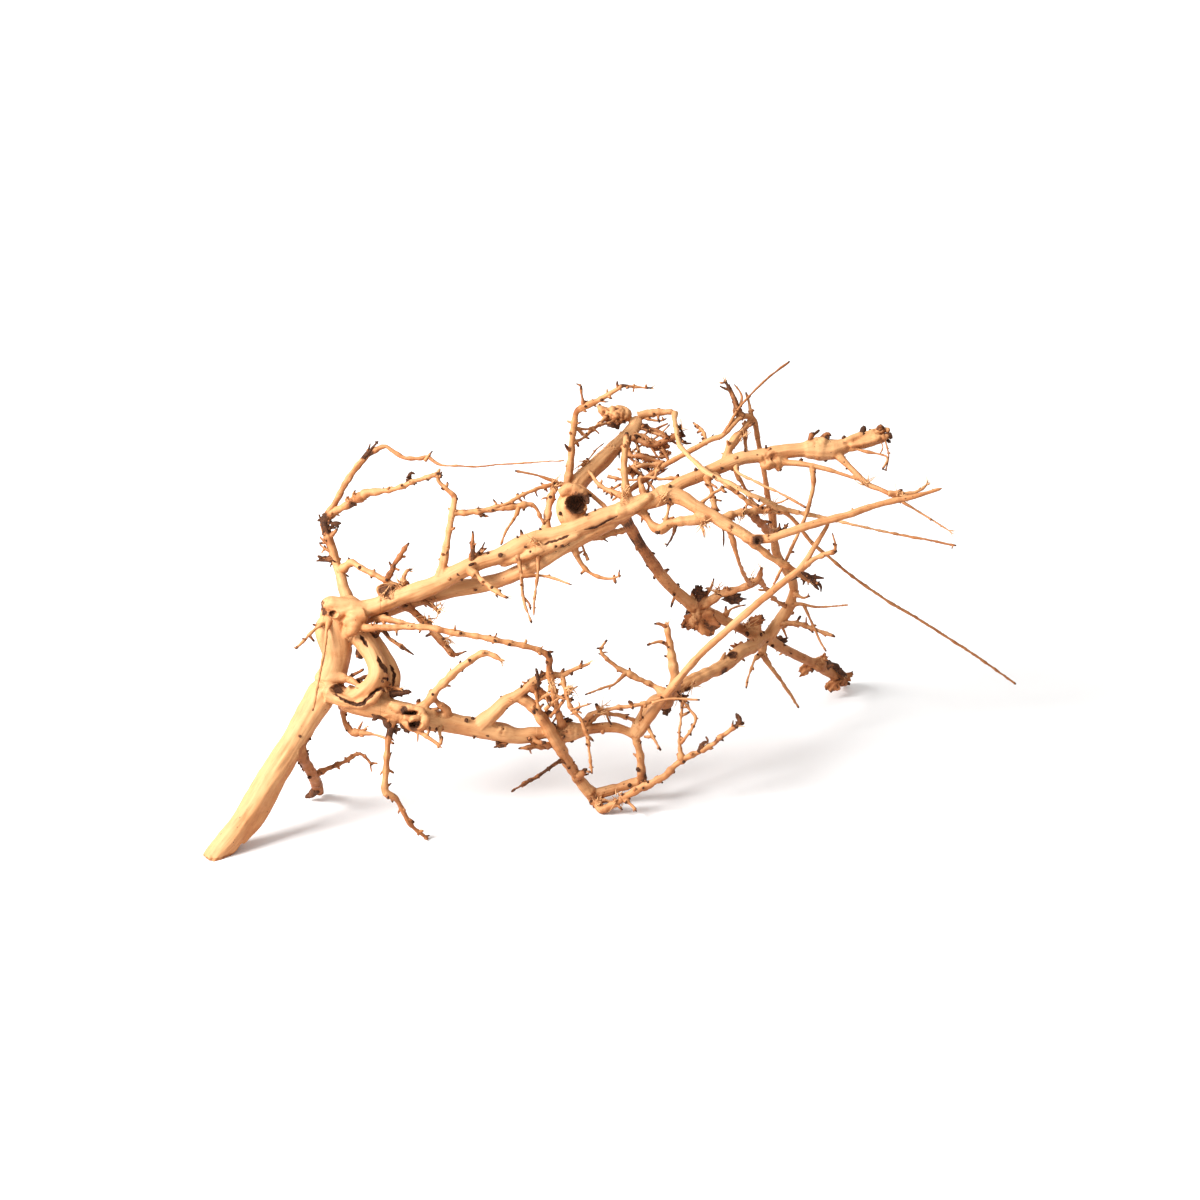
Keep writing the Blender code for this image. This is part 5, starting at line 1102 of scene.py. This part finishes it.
class ROOT_OT_twigs(bpy.types.Operator):
    """Grow the thinner limbs and twigs, each flared where it leaves its parent, with dark broken tips"""
    bl_idname = "dry_root.twigs"
    bl_label = "Twigs"

    def execute(self, context):
        sizes, colours = context.scene.dry_root_sizes, context.scene.dry_root_colours
        groups = {"twigs_left": bmesh.new(), "twigs_middle": bmesh.new(), "twigs_right": bmesh.new(),
                  "twigs_low": bmesh.new()}
        for bm in groups.values():
            add_layers(bm)
        scratch = bpy.data.meshes.new("twig_rough")
        spots = KDTree(len(DARK_SPOTS))
        for i, spot in enumerate(DARK_SPOTS):
            spots.insert(place(*spot[:3]), i)
        spots.balance()
        for number, (name, *stations) in enumerate(LIMBS + FINE_TWIGS):
            if is_thick(stations):
                continue
            middle = stations[len(stations) // 2]
            if middle[1] < 215:
                group = "twigs_low"
            else:
                group = ("twigs_left" if middle[0] < 300 else
                         "twigs_middle" if middle[0] < 470 else "twigs_right")
            bm = bmesh.new()
            layers = add_layers(bm)
            thick = max(s[3] for s in stations)
            sides = sizes.twig_sides if thick > 1.8 else 7
            route = route_of(name, stations, sizes.ring_step * (0.6 if thick > 1.8 else 0.8))
            tone = tone_of(thick * MM) + 0.2 * noise.noise((number * 1.7, 0.2, 0))
            sweep(bm, layers, route, sides, bark_of(name), tone, 0.13, 1.35, 0.8, number * 0.37)
            roughen(bm, 0.22 * MM * min(thick, 3), 6 * MM)
            roughen(bm, 0.10 * MM * min(thick, 3), 2.2 * MM)
            grain_layer, darkness_layer, tone_layer = layers
            for vert in bm.verts:
                if name in BLEACHED:
                    passed = (vert[grain_layer].x - number * 0.37 * 97.0) / route[-1][2]
                    vert[tone_layer] = (BLEACHED[name][0]
                                        + (BLEACHED[name][1] - BLEACHED[name][0]) * passed ** 2)
                blotch = noise.noise(vert.co / (11 * MM)) * 0.5 + noise.noise(vert.co / (30 * MM)) * 0.25
                dark = max(vert[darkness_layer], vert[darkness_layer] + blotch * 0.7)
                spot, number_of_spot, gap = spots.find(vert.co)
                across, up, back, reach, strength = DARK_SPOTS[number_of_spot]
                if gap < 1.5 * reach * MM:
                    dark = max(dark, strength * (1.15 - (gap / reach / MM) ** 2 * 0.55))
                vert[darkness_layer] = min(1.0, dark)
            bmesh.ops.recalc_face_normals(bm, faces=bm.faces[:])
            bm.to_mesh(scratch)
            bm.free()
            groups[group].from_mesh(scratch)
        for name, bm in groups.items():
            add_piece(name, bm, colours)
        return {"FINISHED"}


def outer_places(chance):
    """Seeded places on the surface of the limbs and twigs: name, centre, radius, onward way, outward way, distance."""
    for name, *stations in LIMBS + FINE_TWIGS:
        route = route_of(name, stations, 1.5 * MM)
        for s in nodes_of(name, route[-1][2]):
            if s < 1.6 * stations[0][3]:
                continue
            i = min(range(1, len(route) - 1), key=lambda k: abs(route[k][2] - s))
            centre, radius, s_there = route[i]
            aim = (route[i + 1][0] - route[i - 1][0]).normalized()
            side = aim.orthogonal().normalized()
            first = chance.uniform(0, 2 * pi)
            for k in range(chance.choice((1, 1, 2, 2, 3))):
                turn = first + k * chance.uniform(1.6, 3.4)
                yield name, centre, radius, aim, side * cos(turn) + aim.cross(side) * sin(turn), s


def grow_spikes(bm, layers, spikes, sides, tone=0.22):
    """Many small tapering spikes at once: all their discs are extruded together, ring by ring.

    A spike is (foot, way, bend, length, radius, tip radius, bark at the foot, bark at the tip)."""
    grain_layer, darkness_layer, tone_layer = layers
    number_layer = bm.faces.layers.int.new("spike")
    faces = []
    for number, (foot, way, bend, length, radius, tip, dark, dark_tip) in enumerate(spikes):
        frame_there = Matrix.Translation(foot) @ way.to_track_quat("Z", "Y").to_matrix().to_4x4()
        made = bmesh.ops.create_circle(bm, cap_ends=True, segments=sides, radius=radius, matrix=frame_there)
        for k, vert in enumerate(made["verts"]):
            angle = 2 * pi * k / sides
            vert[grain_layer] = (number * 13.7, radius / MM * cos(angle), radius / MM * sin(angle) + number)
            vert[darkness_layer] = dark
            vert[tone_layer] = tone
        faces.append(made["verts"][0].link_faces[0])
        faces[-1][number_layer] = number
    centres = [spike[0].copy() for spike in spikes]
    widths = [spike[4] for spike in spikes]
    rings = 4
    for ring in range(1, rings + 1):
        grown = bmesh.ops.extrude_discrete_faces(bm, faces=faces)["faces"]
        for face in grown:
            number = face[number_layer]
            foot, way, bend, length, radius, tip, dark, dark_tip = spikes[number]
            t = ring / rings
            centre = foot + way * (length * t) + bend * (length * t * t)
            width = radius + (tip - radius) * (t ** 0.7)
            width *= 1.0 + 0.35 * noise.noise((number * 1.3, ring * 0.9, 0.5))
            if ring == rings:
                width *= 0.75
            for vert in face.verts:
                vert.co = centre + (vert.co - centres[number]) * (width / widths[number])
                vert[darkness_layer] = dark + (dark_tip - dark) * min(1.0, max(0.0, t * 1.6 - 0.5))
                vert[grain_layer] = (vert[grain_layer][0] + length / MM / rings, vert[grain_layer][1],
                                     vert[grain_layer][2])
            centres[number], widths[number] = centre, width
        faces = grown
    bmesh.ops.holes_fill(bm, edges=[e for e in bm.edges if e.is_boundary], sides=sides)
    bm.faces.layers.int.remove(number_layer)


class ROOT_OT_spurs(bpy.types.Operator):
    """Set short broken spurs and rootlets all over the twigs and, more sparsely, over the limbs"""
    bl_idname = "dry_root.spurs"
    bl_label = "Spurs"

    def execute(self, context):
        sizes, colours = context.scene.dry_root_sizes, context.scene.dry_root_colours
        chance = random.Random(sizes.seed)
        spikes = []
        for name, centre, radius, aim, out, s in outer_places(chance):
            slim = radius < 5.2 * MM
            if name in BARE_LIMBS and chance.random() < 0.75 or (name == "trunk" and s < 150):
                continue
            if name in THIN_WISPS or chance.random() > (
                    0.08 if name in SMOOTH_LIMBS else 0.78 if slim else 0.25):
                continue
            size = chance.random()
            length = sizes.spur_length * (0.22 + 1.15 * size ** 3)
            if radius < 1.4 * MM:
                length *= 0.5
            foot_radius = min(0.75 * radius, (0.9 + 0.9 * chance.random()) * MM) * (1.0 if slim else 1.4)
            way = (out + aim * chance.uniform(-0.3, 0.9)).normalized()
            bend = (aim * chance.uniform(-0.4, 0.6) + Vector((0, 0, chance.uniform(-0.4, 0.4))))
            dark_tip = 0.95 if chance.random() < 0.62 else 0.3
            spikes.append((centre + out * (radius * 0.5), way, bend, length + radius * 0.5, foot_radius * 1.3,
                           foot_radius * chance.uniform(0.65, 1.15), bark_of(name) * 0.9 + 0.12, dark_tip))
        bm = bmesh.new()
        layers = add_layers(bm)
        grow_spikes(bm, layers, spikes, 6)
        add_piece("spurs", bm, colours)
        return {"FINISHED"}


# Hair-thin ends that carry no spurs at all.
THIN_WISPS = ("left top twig", "top long wisp", "middle wisp", "hanging wisp", "low hook wisp",
              "right end twig",
              "back twig", "back twig 2", "crossing twig", "fine weave 2", "long straight twig")
BARE_LIMBS = ("crown bar", "left strand", "inner loop", "long straight twig", "top long wisp", "crossing twig",
              "fine weave 2", "straight stick")


class ROOT_OT_fibres(bpy.types.Operator):
    """Fray the torn ends and torn sides into pale fibres"""
    bl_idname = "dry_root.fibres"
    bl_label = "Torn fibres"

    def execute(self, context):
        sizes, colours = context.scene.dry_root_sizes, context.scene.dry_root_colours
        chance = random.Random(sizes.seed + 1)
        spikes = []
        by_name = {name: stations for name, *stations in LIMBS}
        for name, count in TORN_ENDS:
            route = route_of(name, by_name[name], 3 * MM)
            end, radius, s = route[-1]
            aim = (end - route[-3][0]).normalized()
            side = aim.orthogonal().normalized()
            for k in range(count):
                turn, off = chance.uniform(0, 2 * pi), radius * 0.85 * chance.random() ** 0.5
                out = side * cos(turn) + aim.cross(side) * sin(turn)
                way = (aim + out * chance.uniform(-0.1, 0.75)).normalized()
                length = sizes.fibre_length * chance.uniform(0.35, 1.3)
                spikes.append((end + out * off - aim * 3 * MM, way, out * chance.uniform(-0.2, 0.5), length,
                               chance.uniform(0.35, 0.85) * MM, 0.16 * MM, 0.05, 0.45 * chance.random()))
        hearts = onto_wood([place(*spot[:3]) for spot in TORN_SIDES])
        for (heart, outward), (across, up, back, count) in zip(hearts, TORN_SIDES):
            for k in range(2 * count):
                way = Vector([chance.uniform(-1, 1) for axis in range(3)]).normalized()
                way = (way + outward * 0.6 - SHEET_NORMAL * 0.3).normalized()
                spread = Vector([chance.uniform(-1, 1) for axis in range(3)]) * 3.6 * MM
                length = sizes.fibre_length * chance.uniform(0.5, 1.6)
                spikes.append((heart + spread, way, way.orthogonal() * chance.uniform(-0.9, 0.9), length,
                               chance.uniform(0.5, 1.25) * MM, 0.35 * MM, 0.0, 0.8 * chance.random() ** 3))
        bm = bmesh.new()
        layers = add_layers(bm)
        grow_spikes(bm, layers, spikes, 5, 0.95)
        add_piece("torn_fibres", bm, colours)
        return {"FINISHED"}


def onto_wood(points):
    """The nearest places on the surface of the wood, with the way out of it there."""
    samples = []
    for name, *stations in LIMBS:
        samples += [(centre, radius) for centre, radius, s in route_of(name, stations, 2 * MM)]
    for name, across, up, back, wide, high, deep in BURLS:
        samples.append((place(across, up, back), min(wide, high) * MM))
    tree = KDTree(len(samples))
    for i, (centre, radius) in enumerate(samples):
        tree.insert(centre, i)
    tree.balance()
    found = []
    for point in points:
        best = min(tree.find_n(point, 12), key=lambda hit: hit[2] - samples[hit[1]][1])
        centre, radius = samples[best[1]]
        out = (point - centre).normalized()
        found.append((centre + out * radius * 0.97, out))
    return found


class ROOT_OT_knobs(bpy.types.Operator):
    """Set dark knobs where small roots broke off, and rough flakes of bark beside them"""
    bl_idname = "dry_root.knobs"
    bl_label = "Knobs and bark"

    def execute(self, context):
        sizes, colours = context.scene.dry_root_sizes, context.scene.dry_root_colours
        chance = random.Random(sizes.seed + 2)
        bm = bmesh.new()
        grain_layer, darkness_layer, tone_layer = add_layers(bm)
        spots = onto_wood([place(a, u, b) for a, u, b, size in KNOBS])
        lumps = [(spot + out * 0.4 * MM, 0.62 * knob[3] * MM, 0.8, out)
                 for (spot, out), knob in zip(spots, KNOBS)]
        for name, centre, radius, aim, out, s in outer_places(chance):
            if name not in BARE_LIMBS and name not in THIN_WISPS and not (name == "trunk" and s < 170):
                if chance.random() < 0.35:
                    lumps.append((centre + out * radius * 0.92, chance.uniform(0.5, 1.1) * MM, 0.55, None))
        for centre, size, dark, out in lumps:
            made = bmesh.ops.create_icosphere(bm, subdivisions=3 if out else 2, radius=size)
            stretch = Vector((chance.uniform(0.7, 1.2), chance.uniform(0.7, 1.2), chance.uniform(0.7, 1.2)))
            for vert in made["verts"]:
                bump = 1 + 0.45 * noise.noise(vert.co / (0.6 * size) + centre * 300)
                bump += 0.3 * abs(noise.noise(vert.co / (0.25 * size) + centre * 500)) if out else 0
                vert[grain_layer] = vert.co / MM
                vert[darkness_layer] = dark + 0.3 * noise.noise(vert.co / (0.5 * size) + centre * 100)
                vert[tone_layer] = 0.4
                vert.co = vert.co * stretch * bump
                if out:
                    vert.co += out * (0.7 * vert.co.dot(out))
                vert.co += centre
        add_piece("knobs", bm, colours)
        return {"FINISHED"}


class ROOT_OT_flakes(bpy.types.Operator):
    """Set ragged flakes of bark on the burls and beside the torn places"""
    bl_idname = "dry_root.flakes"
    bl_label = "Flakes"

    def execute(self, context):
        bm = bmesh.new()
        grain_layer, darkness_layer, tone_layer = add_layers(bm)
        hearts = onto_wood([place(*flake[:3]) for flake in FLAKES])
        for (on_wood, out), (across, up, back, wide, high, turn, dark) in zip(hearts, FLAKES):
            heart = place(across, up, back)
            if (heart - on_wood).length > 0.8 * min(wide, high) * MM:
                heart = on_wood + (heart - on_wood).normalized() * (0.8 * min(wide, high) * MM)
            lean = Matrix.Rotation(-LEAN, 4, "X") @ Matrix.Rotation(radians(turn), 4, "Y")
            made = bmesh.ops.create_icosphere(bm, subdivisions=4, radius=1.0)
            for vert in made["verts"]:
                way = vert.co.copy()
                edge = Vector((way.x, way.z))
                spread = edge.normalized() if edge.length > 1e-6 else edge
                outline = 0.9 + 0.6 * noise.noise((spread.x * 1.4 + across, spread.y * 1.4, 0.4))
                outline += 0.7 * abs(noise.noise((spread.x * 2.6, spread.y * 2.6, up * 1.0))) ** 1.3
                outline += 0.07 * noise.noise((spread.x * 9.0, spread.y * 9.0, up * 1.0))
                bend = 0.35 * noise.noise((way.x * 1.5 + up, way.z * 1.5, 3.3)) * (wide + high) / 2
                rough = 0.5 * noise.noise((way.x * 4, way.z * 4, across * 1.0))
                local = Vector((way.x * wide * outline, way.y * (1.5 + rough) + bend, way.z * high * outline))
                blotch = noise.noise((way.x * 2.2 + up, way.z * 2.2, across * 0.7))
                vert[darkness_layer] = dark + 0.9 * max(0.0, edge.length - 0.8) + 0.4 * rough + 0.55 * blotch
                vert[grain_layer] = (local.x, local.y, local.z + across)
                vert[tone_layer] = 0.12
                vert.co = heart + (lean @ local) * MM
        add_piece("flakes", bm, context.scene.dry_root_colours)
        return {"FINISHED"}


def stage_material():
    paper = bpy.data.materials.new("stage_paper")
    paper.use_nodes = True
    tree = paper.node_tree
    shader = tree.nodes["Principled BSDF"]
    start = Field(tree, None)
    cloud = start.node("ShaderNodeTexCoord", output=3).noise(3.0, 2.0)
    colour = cloud.mix((0.93, 0.93, 0.93, 1), (0.95, 0.95, 0.95, 1))
    tree.links.new(colour.socket, shader.inputs["Base Color"])
    shader.inputs["Roughness"].default_value = 0.9
    return paper


class ROOT_OT_stage(bpy.types.Operator):
    """Lay a plain pale floor, soft studio light and the camera"""
    bl_idname = "dry_root.stage"
    bl_label = "Stage"

    def execute(self, context):
        stage = context.scene.dry_root_stage
        bm = bmesh.new()
        bmesh.ops.create_grid(bm, x_segments=2, y_segments=2, size=stage.floor_size / 2)
        mesh = bpy.data.meshes.new("stage_floor")
        bm.to_mesh(mesh)
        bm.free()
        mesh.materials.append(stage_material())
        floor = bpy.data.objects.new("stage_floor", mesh)
        context.scene.collection.objects.link(floor)

        context.scene.view_settings.view_transform = "Standard"
        world = bpy.data.worlds.new("soft_room")
        context.scene.world = world
        world.use_nodes = True
        world.node_tree.nodes["Background"].inputs["Color"].default_value = (1.0, 0.985, 0.965, 1)
        world.node_tree.nodes["Background"].inputs["Strength"].default_value = 0.50
        target = place(400, 260, 0)
        for name, spot, size, power in (("key", (-3.0, -1.3, 2.6), 1.8, 385),
                                        ("top", (0.4, 0.6, 3.6), 2.6, 30)):
            light = bpy.data.lights.new(name, "AREA")
            light.size, light.energy = size, power
            lamp = bpy.data.objects.new(name, light)
            lamp.location = spot
            lamp.rotation_euler = (target - Vector(spot)).to_track_quat("-Z", "Y").to_euler()
            context.scene.collection.objects.link(lamp)

        lens = bpy.data.cameras.new("view")
        lens.lens, lens.sensor_width = stage.lens, 36.0
        lens.clip_end = 100
        camera = bpy.data.objects.new("view", lens)
        camera.location = target - SHEET_NORMAL * stage.camera_distance
        camera.rotation_euler = (pi / 2 - LEAN, 0, 0)
        context.scene.collection.objects.link(camera)
        context.scene.camera = camera
        return {"FINISHED"}


class ROOT_PT_panel(bpy.types.Panel):
    """The steps that build the root, in order"""
    bl_idname = "ROOT_PT_panel"
    bl_label = "Dry root"
    bl_space_type = "VIEW_3D"
    bl_region_type = "UI"
    bl_category = "Dry root"

    def draw(self, context):
        for group in (context.scene.dry_root_sizes, context.scene.dry_root_colours,
                      context.scene.dry_root_stage):
            box = self.layout.box()
            for name in group.__annotations__:
                box.prop(group, name)
        for step in STEPS:
            self.layout.operator(step.bl_idname)


STEPS = (ROOT_OT_limbs, ROOT_OT_twigs, ROOT_OT_spurs, ROOT_OT_fibres, ROOT_OT_knobs, ROOT_OT_flakes,
         ROOT_OT_stage)
CLASSES = (RootSizes, RootColours, RootStage) + STEPS + (ROOT_PT_panel,)


def register():
    for item in CLASSES:
        bpy.utils.register_class(item)
    bpy.types.Scene.dry_root_sizes = PointerProperty(type=RootSizes)
    bpy.types.Scene.dry_root_colours = PointerProperty(type=RootColours)
    bpy.types.Scene.dry_root_stage = PointerProperty(type=RootStage)


def unregister():
    del bpy.types.Scene.dry_root_stage, bpy.types.Scene.dry_root_colours, bpy.types.Scene.dry_root_sizes
    for item in reversed(CLASSES):
        bpy.utils.unregister_class(item)


def main():
    register()
    for step in STEPS:
        area, name = step.bl_idname.split(".")
        getattr(getattr(bpy.ops, area), name)()


if __name__ == "__main__":
    main()
